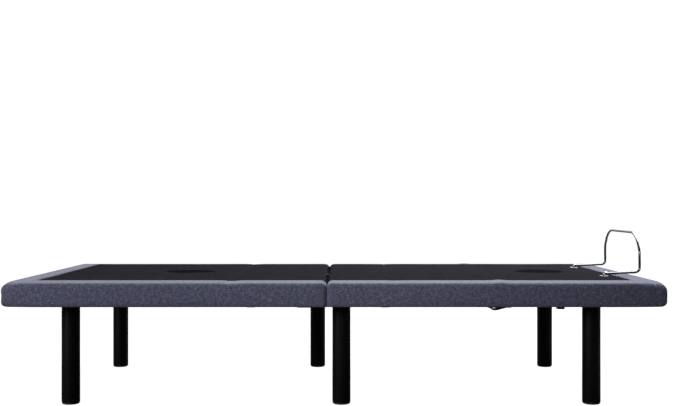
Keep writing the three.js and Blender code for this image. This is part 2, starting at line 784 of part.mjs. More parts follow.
// A half-round weight on a hub, turning about the vertical axis.
function massageWeight(x) {
  const z = SUB_Z + 14;
  const shape = new THREE.Shape();
  shape.absarc(0, 0, 52, 0, Math.PI, false);
  const g = new THREE.ExtrudeGeometry(shape, { depth: 12, bevelEnabled: false, curveSegments: 14 });
  g.translate(0, 0, z);
  const hub = bar('z', z - 3, z + 15, [0, 0], 12, 20);
  return union([solid(g), hub]).translate([x, 0, 0]);
}

function massage() {
  add('head_massage_housing', massageHousing(HEAD_MOTOR_X), PLASTIC);
  add('head_massage_weight', massageWeight(HEAD_MOTOR_X), ROD_STEEL);
  add('foot_massage_housing', massageHousing(FOOT_MOTOR_X), PLASTIC);
  add('foot_massage_weight', massageWeight(FOOT_MOTOR_X), ROD_STEEL);
}

// ---------- mattress retainer bar ----------
const BAR_FOOT_X = 889; // where the rod's feet meet their brackets
const BAR_X = FOOT_END - 5;
const BAR_Y = 214;
const BAR_FOOT_Z = TOP + BAR_R + 1.6;
const BAR_LOW = TOP + 8.5; // from here the rod rises a little along the panel
const BAR_Z = TOP + 13;
const BAR_TOP = TOP + 142;

// Points of half of the bent rod, from its foot on the calf panel to the middle of the top.
function barHalf() {
  const bend = 14;
  const post = (inwards, z) => [BAR_X, BAR_Y - inwards, z];
  const points = [
    [BAR_FOOT_X, BAR_Y, BAR_FOOT_Z],
    [BAR_FOOT_X + 6, BAR_Y, BAR_LOW - 1],
    [BAR_FOOT_X + 14, BAR_Y, BAR_LOW],
    [BAR_X - bend - 20, BAR_Y, BAR_Z - 0.8],
    [BAR_X - bend, BAR_Y, BAR_Z],
    [BAR_X - bend * 0.3, BAR_Y, BAR_Z + bend * 0.3],
    post(0, BAR_Z + bend),
    post(0, BAR_Z + 50),
    post(3, BAR_TOP - 57),
    post(14, BAR_TOP - 41),
    post(28, BAR_TOP - 25),
    post(49, BAR_TOP - 11),
    post(76, BAR_TOP - 2),
    post(98, BAR_TOP),
    post(150, BAR_TOP),
  ];
  return points.map(([x, y, z]) => new THREE.Vector3(x, y, z));
}

function retainerBar() {
  const half = barHalf();
  const mirrored = half.map((p) => new THREE.Vector3(p.x, -p.y, p.z)).reverse();
  const curve = new THREE.CatmullRomCurve3([...half, ...mirrored], false, 'centripetal');
  const section = new THREE.Shape();
  section.absarc(0, 0, BAR_R, 0, Math.PI * 2, false);
  const along = { steps: 72, extrudePath: curve, bevelEnabled: false, curveSegments: 4 };
  return solid(new THREE.ExtrudeGeometry(section, along));
}

// A chrome strip screwed to the calf panel, with two cheeks that hold the rod's foot.
function retainerBracket(side) {
  const y = side * BAR_Y;
  const strip = box(BAR_FOOT_X - 13, BAR_FOOT_X + 13, y - 12, y + 12, TOP - 0.7, TOP + 1.1);
  const cheek = (y0) => box(BAR_FOOT_X - 5, BAR_FOOT_X + 9, y0, y0 + 1.6, TOP + 1, BAR_LOW + 2);
  return union([strip, cheek(y - BAR_R - 2.2), cheek(y + BAR_R + 0.6)]);
}

function retainer() {
  add('retainer_bar', retainerBar(), CHROME);
  add('retainer_bracket_near', retainerBracket(-1), CHROME);
  add('retainer_bracket_far', retainerBracket(1), CHROME);
}

// ---------- electrics ----------
function electrics() {
  const under = RAIL_Z - 0.4;
  const control = cut(box(636, 802, 90, 226, under - 40, under), [
    box(634, 646, 110, 126, under - 28, under - 14),
    box(634, 646, 140, 156, under - 28, under - 14),
    box(634, 646, 170, 186, under - 28, under - 14),
  ]);
  add('control_box', control, PLASTIC);
  add('power_supply', box(-235, -30, -250, -160, under - 30, under), PLASTIC);
  add('mains_inlet', cut(box(780, 804, -14, 14, under - 62, under), [
    box(798, 810, -9, 9, under - 56, under - 34),
  ]), PLASTIC);
}

upholstery();
panels();
frames();
legs();
subframes();
lifts();
actuators();
add('calf_stay', calfStay(), FRAME_STEEL);
massage();
retainer();
electrics();

export default assembly;
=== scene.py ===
"""Looks of the adjustable bed base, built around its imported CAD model.

Metres, +Z up, X along the bed with the foot end at +X.
"""

import json
import math

import bmesh
import bpy
import numpy as np
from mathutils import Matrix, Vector

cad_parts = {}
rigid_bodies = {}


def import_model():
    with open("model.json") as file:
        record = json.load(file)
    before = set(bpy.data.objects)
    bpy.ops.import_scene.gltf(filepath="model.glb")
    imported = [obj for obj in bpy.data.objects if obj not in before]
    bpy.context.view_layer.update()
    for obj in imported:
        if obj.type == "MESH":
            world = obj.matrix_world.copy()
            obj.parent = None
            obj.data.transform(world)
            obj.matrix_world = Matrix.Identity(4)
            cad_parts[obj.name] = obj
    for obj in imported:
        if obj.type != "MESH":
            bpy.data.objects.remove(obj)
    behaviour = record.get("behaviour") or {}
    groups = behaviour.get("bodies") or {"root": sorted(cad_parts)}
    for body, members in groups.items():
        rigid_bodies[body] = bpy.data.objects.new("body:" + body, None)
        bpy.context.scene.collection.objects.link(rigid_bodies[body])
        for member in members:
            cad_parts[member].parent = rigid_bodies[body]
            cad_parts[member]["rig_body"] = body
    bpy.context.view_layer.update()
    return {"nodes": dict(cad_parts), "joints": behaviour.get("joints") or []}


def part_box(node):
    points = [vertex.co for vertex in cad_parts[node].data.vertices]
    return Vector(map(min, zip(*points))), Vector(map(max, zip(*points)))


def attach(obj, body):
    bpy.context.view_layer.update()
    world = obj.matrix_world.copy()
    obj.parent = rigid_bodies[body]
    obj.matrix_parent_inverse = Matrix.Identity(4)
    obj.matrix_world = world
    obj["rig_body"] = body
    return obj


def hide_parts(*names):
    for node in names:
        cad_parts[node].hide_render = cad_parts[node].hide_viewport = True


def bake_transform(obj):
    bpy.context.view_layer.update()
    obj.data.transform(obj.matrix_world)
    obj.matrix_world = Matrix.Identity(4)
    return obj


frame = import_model()


# ---------- places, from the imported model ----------
def joint_x(name):
    return next(j for j in frame["joints"] if j["name"] == name)["pos_m"][0]


HEAD_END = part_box("head_border")[0].x
FOOT_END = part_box("calf_border")[1].x
WIDTH = 2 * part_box("head_border")[1].y
SKIRT_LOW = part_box("head_border")[0].z
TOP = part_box("head_border")[1].z
FOLD_X = joint_x("base_fold")
HEAD_JOINT = joint_x("head_lift")
HIP_JOINT = joint_x("foot_lift")
KNEE_JOINT = joint_x("calf_bend")
BENDS = (HEAD_JOINT, HIP_JOINT, KNEE_JOINT)
MID_THIGH = (HIP_JOINT + KNEE_JOINT) / 2
PAD_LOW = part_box("head_pad")[0].z
DECK_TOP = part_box("head_pad")[1].z
DECK_REACH = 0.0004  # how far the cloth reaches past its pad, up to the rail's cover
DECK_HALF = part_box("head_pad")[1].y + DECK_REACH
MOTORS_X = [joint_x("head_massage_spin"), joint_x("foot_massage_spin")]
MOTOR_R = (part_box("head_massage_housing")[1].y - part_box("head_massage_housing")[0].y) / 2
EAR_Y = (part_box("fold_pin_far")[0].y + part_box("fold_pin_far")[1].y) / 2

# ---------- upholstery dimensions ----------
SKIRT = 0.030  # thickness of the upright rail
BAND = 0.080  # width of the band on top
CORNER = 0.007  # rounding of the corners seen from above
EDGE, LOW_EDGE = 0.006, 0.010  # rounding of the upper and the lower edge
SOFT_EDGE, SOFT_LOW_EDGE = 0.025, 0.018  # the same at the near corners, where the padding is pulled round
SOFT_RUN = 0.11  # length over which the edges get softer towards a corner
FAR_SOFT = 0.12  # share of that softness at the far corners
SWELL = 0.0014  # how far the padding swells at both ends
CROWN = 0.0016  # how far the band rises above TOP beside the deck
FALL = 0.0010  # how far the band has dropped below TOP where it turns over the edge
DECK_RISE = 0.0034  # how far the deck's padding stands above its board
ROW = 0.012  # spacing of the rows of faces along the rail
MITRE_RUN = 0.25  # rows slant towards the mitre within this length
MOTOR_DIP = 0.0018  # the deck cloth sinks this far over each massage motor
FOLD_GAP = 0.0001  # half of the slit between the halves, whose padded ends press together
END_ROUND = 0.018  # rounding of the halves' upper edges at the fold
END_SIDE_ROUND = 0.014  # and of their upright edges
FOLD_HEAD, FOLD_FOOT = FOLD_X - FOLD_GAP, FOLD_X + FOLD_GAP
HELD_RUN = 0.004  # the covers are held flat this far from the fold
MITRE_R = 0.0015  # radius left in the corners at the mitre
SEAM_IN = 0.0045  # the band's inner rounding begins this far from the deck
SWELL_RUN = 0.05  # length over which the ends swell
OUTER_COLUMN = 10  # a point of the outline that lies on the rail's outer face
HEM_RUN, HEM_DROP = 0.010, 0.006  # length and depth of the rounding along the deck's edges
SEWN_DEPTH, SEWN_WIDTH = 0.0022, 0.0035  # of the sewn grooves across the deck
DIP_IN, DIP_OUT = 0.008, 0.010  # the motor dip's slope, inside and outside the motor's rim
PRESSED_X, PRESSED_Y = 0.034, 0.030  # the bar's clips press the cloth down over this length and width
NOTCH_X, NOTCH_Y = 0.012, 0.0075  # notches in the cloth for the fold hinges: depth and half of the width
CLOTH_FRAMES = 20  # length of the cloth simulations
RAIL_PRESSURE, DECK_PRESSURE = 1.6, 0.5
RAIL_PUFF, DECK_PUFF = 0.0022, 0.0012  # the most that the pressure may move a point

# ---------- retainer bar dimensions ----------
BAR_R = 0.004
CLIP_LOW, CLIP_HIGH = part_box("retainer_bracket_far")
BAR_FOOT_X = (CLIP_LOW.x + CLIP_HIGH.x) / 2
BAR_Y = (CLIP_LOW.y + CLIP_HIGH.y) / 2
BAR_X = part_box("retainer_bar")[1].x - BAR_R
BAR_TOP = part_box("retainer_bar")[1].z - BAR_R
BAR_FOOT_Z = TOP + BAR_R + 0.0008
BAR_LOW = TOP + 0.0085  # from here the rod rises a little along the panel
BAR_Z = TOP + 0.013


# ---------- camera ----------
CAMERA_PLACE = (0.017, -3.5175, 0.631)  # fitted to the photo's perspective, like the focal length in mm
FOCAL_LENGTH = 53.15


def make_camera():
    data = bpy.data.cameras.new("camera")
    data.lens = FOCAL_LENGTH
    data.sensor_width = 36.0
    data.clip_start, data.clip_end = 0.05, 200
    camera = bpy.data.objects.new("camera", data)
    camera.location = CAMERA_PLACE
    camera.rotation_euler = (math.radians(90), 0, 0)
    bpy.context.scene.collection.objects.link(camera)
    bpy.context.scene.camera = camera


# ---------- node helpers ----------
def node(tree, kind, inputs=None, **settings):
    made = tree.nodes.new("ShaderNode" + kind)
    for key, value in settings.items():
        setattr(made, key, value)
    for key, value in (inputs or {}).items():
        if isinstance(value, bpy.types.NodeSocket):
            tree.links.new(value, made.inputs[key])
        else:
            made.inputs[key].default_value = value
    return made


def maths(tree, operation, a, b=0.0, c=0.0):
    return node(tree, "Math", {0: a, 1: b, 2: c}, operation=operation).outputs[0]


def between(tree, value, low, high, to_low=0.0, to_high=1.0):
    inputs = {"Value": value, 1: low, 2: high, 3: to_low, 4: to_high}
    return node(tree, "MapRange", inputs, interpolation_type="SMOOTHSTEP").outputs[0]


def mix(tree, factor, a, b, blend="MIX"):
    inputs = {0: factor, 6: a, 7: b}
    made = node(tree, "Mix", inputs, data_type="RGBA", blend_type=blend)
    return made.outputs[2]


def combine(tree, x, y, z=0.0):
    return node(tree, "CombineXYZ", {0: x, 1: y, 2: z}).outputs[0]


def noise(tree, vector, scale, detail=2.0, roughness=0.5):
    inputs = {"Vector": vector, "Scale": scale, "Detail": detail, "Roughness": roughness}
    return node(tree, "TexNoise", inputs).outputs[0]


def object_place(tree):
    return node(tree, "TexCoord").outputs["Object"]


def srgb(*levels):
    """A linear colour from three sRGB levels, 0 to 255."""
    linear = [((x / 255 + 0.055) / 1.055) ** 2.4 if x > 10 else x / 255 / 12.92 for x in levels]
    return (*linear, 1.0)


def material(name, **values):
    """A new node material: its tree, its shader, and the material."""
    made = bpy.data.materials.new(name)
    made.use_nodes = True
    tree = made.node_tree
    shader = tree.nodes["Principled BSDF"]
    for key, value in values.items():
        shader.inputs[key.replace("_", " ")].default_value = value
    return tree, shader, made


def bump(tree, shader, height, strength, distance):
    inputs = {"Height": height, "Strength": strength, "Distance": distance}
    tree.links.new(node(tree, "Bump", inputs).outputs[0], shader.inputs["Normal"])


# ---------- fabric materials ----------
def yarns(tree, u, v, pitch):
    """Plain weave from cloth coordinates in metres: height, and a random streak along each yarn."""
    x = maths(tree, "DIVIDE", u, pitch)
    y = maths(tree, "DIVIDE", v, pitch)
    over = node(tree, "TexChecker", {"Vector": combine(tree, x, y, 0.5), "Scale": 1.0}).outputs[1]
    heights = []
    streaks = []
    for across, along, row in ((x, v, 3.0), (y, u, 11.0)):
        turn = maths(tree, "MULTIPLY", across, math.pi)
        heights.append(maths(tree, "ABSOLUTE", maths(tree, "SINE", turn)))
        yarn = maths(tree, "MULTIPLY", maths(tree, "FLOOR", across), 7.31)
        place = combine(tree, yarn, maths(tree, "MULTIPLY", along, 90.0), row)
        streaks.append(noise(tree, place, 1.0, 3.0, 0.6))
    height = node(tree, "Mix", {0: over, 2: heights[0], 3: heights[1]}).outputs[0]
    streak = node(tree, "Mix", {0: over, 2: streaks[0], 3: streaks[1]}).outputs[0]
    return height, streak


def stitches(tree, across, along, place, pitch, width=0.0011):
    """1 on a dashed line of thread where across is at place."""
    off = maths(tree, "ABSOLUTE", maths(tree, "SUBTRACT", across, place))
    line = between(tree, off, width, width * 0.4)
    dash = maths(tree, "FRACT", maths(tree, "DIVIDE", along, pitch))
    inside = maths(tree, "ABSOLUTE", maths(tree, "SUBTRACT", dash, 0.5))
    return maths(tree, "MULTIPLY", line, between(tree, inside, 0.36, 0.28))


def cloth_place(tree):
    uv = node(tree, "UVMap", uv_map="cloth").outputs[0]
    parts = node(tree, "SeparateXYZ", {0: uv})
    return uv, parts.outputs[0], parts.outputs[1]


def border_fabric():
    """Heathered slate linen-look upholstery: dark and pale yarns, slubs and soft blotches."""
    tree, shader, made = material(
        "slate_heather", Roughness=0.92, Sheen_Weight=0.32, Sheen_Roughness=0.45,
        Sheen_Tint=srgb(204, 203, 212), Specular_IOR_Level=0.15,
    )
    _, u, v = cloth_place(tree)
    height, streak = yarns(tree, u, v, 0.0013)
    ramp = node(tree, "ValToRGB", {"Fac": streak})
    stops = ramp.color_ramp.elements
    stops[0].position, stops[0].color = 0.28, srgb(54, 55, 70)
    stops[1].position, stops[1].color = 0.76, srgb(138, 140, 160)
    for position, colour in ((0.46, srgb(72, 73, 91)), (0.58, srgb(91, 92, 112))):
        stops.new(position).color = colour
    wide = maths(tree, "MULTIPLY", u, 0.45)
    slub = noise(tree, combine(tree, wide, v, 2.0), 210.0, 3.0, 0.65)
    blotch = noise(tree, combine(tree, u, v, 7.0), 85.0, 4.0, 0.7)
    shade = maths(tree, "MULTIPLY", between(tree, slub, 0.3, 0.7, 0.81, 1.21),
                  between(tree, blotch, 0.32, 0.68, 0.82, 1.19))
    tone = combine(tree, shade, shade, shade)
    colour = mix(tree, 1.0, ramp.outputs[0], tone, "MULTIPLY")
    seam = stitches(tree, v, u, PROFILE_SEAM, 0.0075)
    colour = mix(tree, seam, colour, srgb(38, 40, 54))
    tree.links.new(colour, shader.inputs["Base Color"])
    tree.links.new(between(tree, streak, 0.3, 0.7, 0.97, 0.84), shader.inputs["Roughness"])
    relief = maths(tree, "ADD", maths(tree, "MULTIPLY", height, 0.6), streak)
    relief = maths(tree, "ADD", relief, maths(tree, "MULTIPLY", seam, 1.5))
    bump(tree, shader, relief, 0.55, 0.0006)
    return made


def deck_fabric():
    """Black anti-slip deck cloth: tight knit, with painted shade darkening it over each massage motor's dip.
    """
    tree, shader, made = material(
        "black_deck_cloth", Roughness=1.0, Specular_IOR_Level=0.0,
    )
    uv, u, v = cloth_place(tree)
    height, streak = yarns(tree, u, v, 0.0018)
    cloud = noise(tree, combine(tree, u, v, 3.0), 14.0, 4.0, 0.6)
    lint = noise(tree, combine(tree, u, v, 9.0), 320.0, 2.0, 0.6)
    colour = mix(tree, streak, srgb(22, 22, 25), srgb(40, 39, 43))
    colour = mix(tree, between(tree, cloud, 0.35, 0.7, 0.0, 0.35), colour, srgb(39, 38, 43))
    colour = mix(tree, between(tree, lint, 0.68, 0.78, 0.0, 0.3), colour, srgb(64, 64, 70))
    # mask of the painted shade inside each massage motor's rim
    motor_dip_shade = 0.0
    for x in MOTORS_X:
        away = node(tree, "VectorMath", {0: uv, 1: (x, 0, 0)}, operation="DISTANCE").outputs["Value"]
        inside = between(tree, away, MOTOR_R + 0.006, MOTOR_R - 0.004)
        motor_dip_shade = maths(tree, "MAXIMUM", motor_dip_shade, inside)
        ring = stitches(tree, away, maths(tree, "MULTIPLY", u, 1.4), MOTOR_R + 0.007, 0.008)
        colour = mix(tree, ring, colour, srgb(42, 42, 47))
    # painted shade: the cloth is darkened over each motor's dip, standing in for the shade in that hollow
    colour = mix(tree, maths(tree, "MULTIPLY", motor_dip_shade, 0.7), colour, srgb(6, 6, 7))
    for x in BENDS:
        for side in (-0.007, 0.007):
            colour = mix(tree, stitches(tree, u, v, x + side, 0.0075), colour, srgb(44, 44, 49))
    tree.links.new(colour, shader.inputs["Base Color"])
    bump(tree, shader, maths(tree, "ADD", height, streak), 0.4, 0.0005)
    return made


# ---------- hard materials ----------
def powder_coat(name, colour, worn, roughness, grain=900.0):
    """Painted steel with a fine orange peel, a little uneven, paler on its worn edges."""
    tree, shader, made = material(name, Metallic=0.0, Specular_IOR_Level=0.35)
    place = object_place(tree)
    peel = noise(tree, place, grain, 2.0)
    cloud = noise(tree, place, 9.0, 3.0)
    edge = node(tree, "NewGeometry").outputs["Pointiness"]
    rub = maths(tree, "MULTIPLY", between(tree, edge, 0.53, 0.62), between(tree, cloud, 0.4, 0.65))
    shade = mix(tree, between(tree, cloud, 0.3, 0.7, 0.0, 0.5), colour, worn)
    shade = mix(tree, maths(tree, "MULTIPLY", rub, 0.5), shade, srgb(66, 66, 68))
    tree.links.new(shade, shader.inputs["Base Color"])
    rough = between(tree, cloud, 0.3, 0.7, roughness - 0.06, roughness + 0.08)
    tree.links.new(rough, shader.inputs["Roughness"])
    bump(tree, shader, peel, 0.25, 0.0003)
    return made


def leg_finish():
    """Satin black legs: faint drawn lines up the tube, scuffed near the floor."""
    tree, shader, made = material("leg_satin_black", Specular_IOR_Level=0.12)
    place = object_place(tree)
    parts = node(tree, "SeparateXYZ", {0: place})
    drawn = node(tree, "VectorMath", {0: place, 1: (900.0, 900.0, 14.0)}, operation="MULTIPLY")
    lines = noise(tree, drawn.outputs[0], 1.0, 2.0)
    scuff = noise(tree, place, 160.0, 4.0, 0.7)
    low = between(tree, parts.outputs[2], 0.055, 0.0)
    rub = maths(tree, "MULTIPLY", low, between(tree, scuff, 0.55, 0.7, 0.0, 0.5))
    colour = mix(tree, lines, srgb(3, 3, 4), srgb(9, 9, 10))
    colour = mix(tree, rub, colour, srgb(34, 34, 36))
    tree.links.new(colour, shader.inputs["Base Color"])
    tree.links.new(between(tree, lines, 0.3, 0.7, 0.34, 0.50), shader.inputs["Roughness"])
    bump(tree, shader, maths(tree, "ADD", lines, rub), 0.15, 0.0002)
    return made


def moulded(name, colour, other, roughness):
    """Moulded plastic with a spark-eroded grain."""
    tree, shader, made = material(name, Specular_IOR_Level=0.35)
    place = object_place(tree)
    grain = noise(tree, place, 1500.0, 2.0)
    cloud = noise(tree, place, 22.0, 3.0)
    tree.links.new(mix(tree, cloud, colour, other), shader.inputs["Base Color"])
    rough = between(tree, grain, 0.3, 0.7, roughness - 0.07, roughness + 0.07)
    tree.links.new(rough, shader.inputs["Roughness"])
    bump(tree, shader, grain, 0.3, 0.00025)
    return made


def bright_metal(name, colour, roughness, smear, scale):
    """Plated or ground metal with smears along it."""
    tree, shader, made = material(name, Metallic=1.0)
    place = object_place(tree)
    stretched = node(tree, "VectorMath", {0: place, 1: scale}, operation="MULTIPLY").outputs[0]
    lines = noise(tree, stretched, 1.0, 3.0)
    cloud = noise(tree, place, 30.0, 3.0)
    dull = mix(tree, cloud, colour, tuple(0.78 * x for x in colour[:3]) + (1.0,))
    tree.links.new(dull, shader.inputs["Base Color"])
    rough = maths(tree, "MULTIPLY_ADD", lines, smear, roughness)
    tree.links.new(rough, shader.inputs["Roughness"])
    bump(tree, shader, lines, 0.06, 0.0001)
    return made


def plywood():
    """Birch plywood: long grain on the faces, dark and pale plies on the edges."""
    tree, shader, made = material("birch_ply", Specular_IOR_Level=0.3)
    place = object_place(tree)
    parts = node(tree, "SeparateXYZ", {0: place})
    warp = noise(tree, place, 3.0, 2.0)
    across = maths(tree, "MULTIPLY_ADD", warp, 0.06, parts.outputs[1])
    grain_place = combine(tree, maths(tree, "MULTIPLY", parts.outputs[0], 2.2),
                          maths(tree, "MULTIPLY", across, 55.0), 1.0)
    grain = noise(tree, grain_place, 1.0, 5.0, 0.65)
    pores = noise(tree, combine(tree, maths(tree, "MULTIPLY", parts.outputs[0], 30.0),
                                maths(tree, "MULTIPLY", across, 700.0)), 1.0, 2.0)
    face = mix(tree, between(tree, grain, 0.3, 0.7), srgb(205, 172, 124), srgb(172, 134, 88))
    face = mix(tree, between(tree, pores, 0.6, 0.75, 0.0, 0.4), face, srgb(120, 88, 56))
    ply = maths(tree, "FRACT", maths(tree, "DIVIDE", parts.outputs[2], 0.0036))
    edge = mix(tree, between(tree, ply, 0.35, 0.65), srgb(196, 160, 112), srgb(122, 88, 56))
    normal = node(tree, "SeparateXYZ", {0: node(tree, "NewGeometry").outputs["Normal"]}).outputs[2]
    flat = between(tree, maths(tree, "ABSOLUTE", normal), 0.4, 0.7)
    tree.links.new(mix(tree, flat, edge, face), shader.inputs["Base Color"])
    tree.links.new(between(tree, grain, 0.2, 0.8, 0.62, 0.8), shader.inputs["Roughness"])
    bump(tree, shader, maths(tree, "ADD", grain, pores), 0.25, 0.0004)
    return made


# ---------- mesh helpers ----------
def link_mesh(name, vertices, faces, mat):
    mesh = bpy.data.meshes.new(name)
    mesh.from_pydata([tuple(v) for v in vertices], [], faces)
    made = bpy.data.objects.new(name, mesh)
    bpy.context.scene.collection.objects.link(made)
    mesh.materials.append(mat)
    mesh.shade_smooth()
    return made


def coordinates(obj):
    flat = np.zeros(len(obj.data.vertices) * 3, np.float32)
    obj.data.vertices.foreach_get("co", flat)
    return flat.reshape(-1, 3).astype(float)


def set_coordinates(obj, points):
    obj.data.vertices.foreach_set("co", np.asarray(points, np.float32).ravel())
    obj.data.update()


def apply_modifiers(obj):
    graph = bpy.context.evaluated_depsgraph_get()
    mesh = bpy.data.meshes.new_from_object(obj.evaluated_get(graph))
    obj.modifiers.clear()
    obj.data = mesh


def subdivide(obj, levels=1):
    if levels:
        modifier = obj.modifiers.new("smooth", "SUBSURF")
        modifier.levels = modifier.render_levels = levels
        modifier.boundary_smooth = "PRESERVE_CORNERS"
        modifier.uv_smooth = "PRESERVE_CORNERS"
        apply_modifiers(obj)


def simulate(obj, pin, pressure, slack, cap):
    """Blows the cover up under pressure, held where pin is 1, no point further than cap from its start."""
    start = coordinates(obj)
    group = obj.vertex_groups.new(name="pin")
    loose = obj.vertex_groups.new(name="slack")
    for index, (held, spare) in enumerate(zip(pin, slack)):
        group.add([index], float(held), "REPLACE")
        loose.add([index], float(spare), "REPLACE")
    cloth = obj.modifiers.new("cloth", "CLOTH")
    settings = cloth.settings
    settings.quality = 6
    settings.mass = 0.15
    settings.tension_stiffness = settings.compression_stiffness = 25
    settings.shear_stiffness = 8
    settings.bending_stiffness = 1.5
    settings.use_pressure = True
    settings.uniform_pressure_force = pressure
    settings.effector_weights.gravity = 0
    settings.vertex_group_mass = "pin"
    settings.shrink_min = 0.0
    settings.shrink_max = -0.02
    settings.vertex_group_shrink = "slack"
    cloth.collision_settings.use_collision = False
    cloth.point_cache.frame_start, cloth.point_cache.frame_end = 1, CLOTH_FRAMES
    for step in range(1, CLOTH_FRAMES + 1):
        bpy.context.scene.frame_set(step)
    graph = bpy.context.evaluated_depsgraph_get()
    moved = coordinates(obj.evaluated_get(graph)) - start
    obj.modifiers.clear()
    bpy.context.scene.frame_set(1)
    size = np.linalg.norm(moved, axis=1, keepdims=True)
    limited = cap * np.tanh(size / cap) / np.maximum(size, 1e-9)
    set_coordinates(obj, start + moved * limited)
    obj.vertex_groups.clear()


def keep_part(obj, name, wanted):
    """A copy of obj with only the faces whose centre wanted() accepts."""
    made = obj.copy()
    made.data = obj.data.copy()
    made.name = name
    bpy.context.scene.collection.objects.link(made)
    work = bmesh.new()
    work.from_mesh(made.data)
    gone = [f for f in work.faces if not wanted(f.calc_center_median())]
    bmesh.ops.delete(work, geom=gone, context="FACES")
    work.to_mesh(made.data)
    work.free()
    return made


def cut_foot(foot, kind):
    """Cuts the foot half's cover or deck in mid-thigh, into a seat piece and a calf piece."""
    seat = keep_part(foot, "foot_seat_" + kind, lambda c: c.x < MID_THIGH)
    calf = keep_part(foot, "calf_" + kind, lambda c: c.x >= MID_THIGH)
    bpy.data.objects.remove(foot)
    return seat, calf


# ---------- the rail's cover ----------
def rail_profile(edge, low_edge):
    """The rail's outline across: distance in from the outer face, height, share of the end's rounding."""
    low, edge_z = SKIRT_LOW - 0.0008, TOP - FALL - edge
    under = PAD_LOW + 0.0004
    points = [(SKIRT, low + 0.003, 0), (SKIRT - 0.0012, low + 0.0008, 0.2), (SKIRT - 0.006, low, 0.3)]
    points.append(((SKIRT - 0.006 + low_edge) / 2, low, 0.4))
    for angle in (0, 22, 45, 67):
        a = math.radians(angle)
        points.append((low_edge * (1 - math.sin(a)), low + low_edge * (1 - math.cos(a)), 0.5 + angle / 134))
    for z in np.linspace(low + low_edge, edge_z, 8):
        points.append((0.0, z, 1))
    for angle in (18, 36, 54, 72, 86):
        a = math.radians(angle)
        points.append((edge * (1 - math.cos(a)), edge_z + edge * math.sin(a), 1))
    rise = TOP + CROWN
    for a in np.linspace(edge + 0.005, BAND - 0.010, 8):
        share = (a - edge) / (BAND - edge)
        points.append((a, TOP - FALL + (FALL + CROWN) * share ** 0.8, 0))
    points += [(BAND - SEAM_IN, rise, 0), (BAND - 0.0012, rise - 0.0014, 0)]
    points += [(BAND, rise - 0.0035, 0), (BAND - 0.001, under + 0.0005, 0), (BAND - 0.006, under, 0)]
    for a in (0.064, 0.054, 0.044, SKIRT + 0.003):
        points.append((a, under, 0))
    points += [(SKIRT, under - 0.004, 0)]
    for z in np.linspace(under - 0.015, low + 0.012, 5):
        points.append((SKIRT, z, 0))
    return np.array(points)


PROFILE = rail_profile(EDGE, LOW_EDGE)
SOFT_PROFILE = rail_profile(SOFT_EDGE, SOFT_LOW_EDGE)
ROLL_LOW = SKIRT_LOW + 0.030  # only what is above this rolls down at the fold
ROLL = np.clip((PROFILE[:, 1] - ROLL_LOW) / (TOP - ROLL_LOW), 0, 1)
STEPS = np.linalg.norm(np.diff(PROFILE[:, :2], axis=0, append=PROFILE[:1, :2]), axis=1)
PROFILE_T = np.concatenate([[0], np.cumsum(STEPS)])
# the topstitching runs 3 mm outside the place where the band rounds over to the deck
SEAM_COLUMN = int(np.argmin(abs(PROFILE[:, 0] - (BAND - SEAM_IN)) + 10 * (PROFILE[:, 1] < TOP)))
PROFILE_SEAM = PROFILE_T[SEAM_COLUMN] - 0.003


def profile_normals():
    """Unit outward directions of the outline, in (inward, up)."""
    flat = PROFILE[:, :2]
    along = np.roll(flat, -1, 0) - np.roll(flat, 1, 0)
    normal = np.stack([-along[:, 1], along[:, 0]], 1)
    normal *= -np.sign(normal[OUTER_COLUMN, 0])
    return normal / np.linalg.norm(normal, axis=1, keepdims=True)


NORMALS = profile_normals()


def softened(distance, side):
    """The outline at a distance from a corner: its edges get softer there, less so on the far side."""
    near = max(0.0, 1 - abs(distance) / SOFT_RUN) ** 2
    share = near * (1.0 if side < 0 else FAR_SOFT)
    mixed = PROFILE * (1 - share) + SOFT_PROFILE * share
    return mixed[:, 0], mixed[:, 1]


def mitre(a, distance):
    """How far each point of an outline slants along the rail at a distance from the corner."""
    near = max(0.0, min(1.0, 1 - abs(distance) / MITRE_RUN))
    return np.maximum(a - CORNER, 0) * near * near * (3 - 2 * near)


def rail_row(x, side, sign, end):
    """Points of one outline across a straight side at x, slanting towards the corner's mitre."""
    distance = end - sign * CORNER - x
    a, z = softened(distance, side)
    return np.stack([x - sign * mitre(a, distance), side * (WIDTH / 2 - a), z], 1)


def corner_row(angle, side, sign, end):
    """Points of one outline in a corner, at an angle from the straight side."""
    a, z = softened(0, side)
    radius = np.maximum(CORNER - a, MITRE_R)
    in_by = np.maximum(a - CORNER, 0) + np.where(a > CORNER - MITRE_R, MITRE_R, 0)
    x = end - sign * (CORNER + in_by) + sign * radius * math.sin(angle)
    y = side * (WIDTH / 2 - CORNER - in_by + radius * math.cos(angle))
    return np.stack([x, y, z], 1)


def end_row(y, sign, end):
    """Points of one outline across the end rail at y."""
    distance = WIDTH / 2 - CORNER - abs(y)
    a, z = softened(distance, y)
    return np.stack([end - sign * a, y - np.sign(y) * mitre(a, distance), z], 1)


def side_stations(fold, end, sign):
    """Places along a straight side from the fold to the corner, closer together at the rounded end."""
    length = abs(end - fold) - CORNER
    ends = [END_ROUND * share for share in (0, 0.04, 0.13, 0.26, 0.42, 0.6, 0.8, 1)]
    steps = np.linspace(END_ROUND + 0.008, length, int(length / ROW))
    return fold + sign * np.concatenate([ends, steps])


def end_inset(distance, radius):
    """How much a rounded end has drawn in at a distance from the fold."""
    share = max(0.0, 1 - distance / radius)
    return radius * (1 - math.sqrt(max(0.0, 1 - share * share)))


def crease_ends(obj, first, last):
    """Keeps the outline of both flat ends where it is when the cover is subdivided."""
    pairs = np.zeros(len(obj.data.edges) * 2, np.int32)
    obj.data.edges.foreach_get("vertices", pairs)
    pairs = pairs.reshape(-1, 2)
    at_end = (pairs < first).all(1) | (pairs >= last).all(1)
    crease = obj.data.attributes.new("crease_edge", "FLOAT", "EDGE")
    crease.data.foreach_set("value", at_end.astype(np.float32))


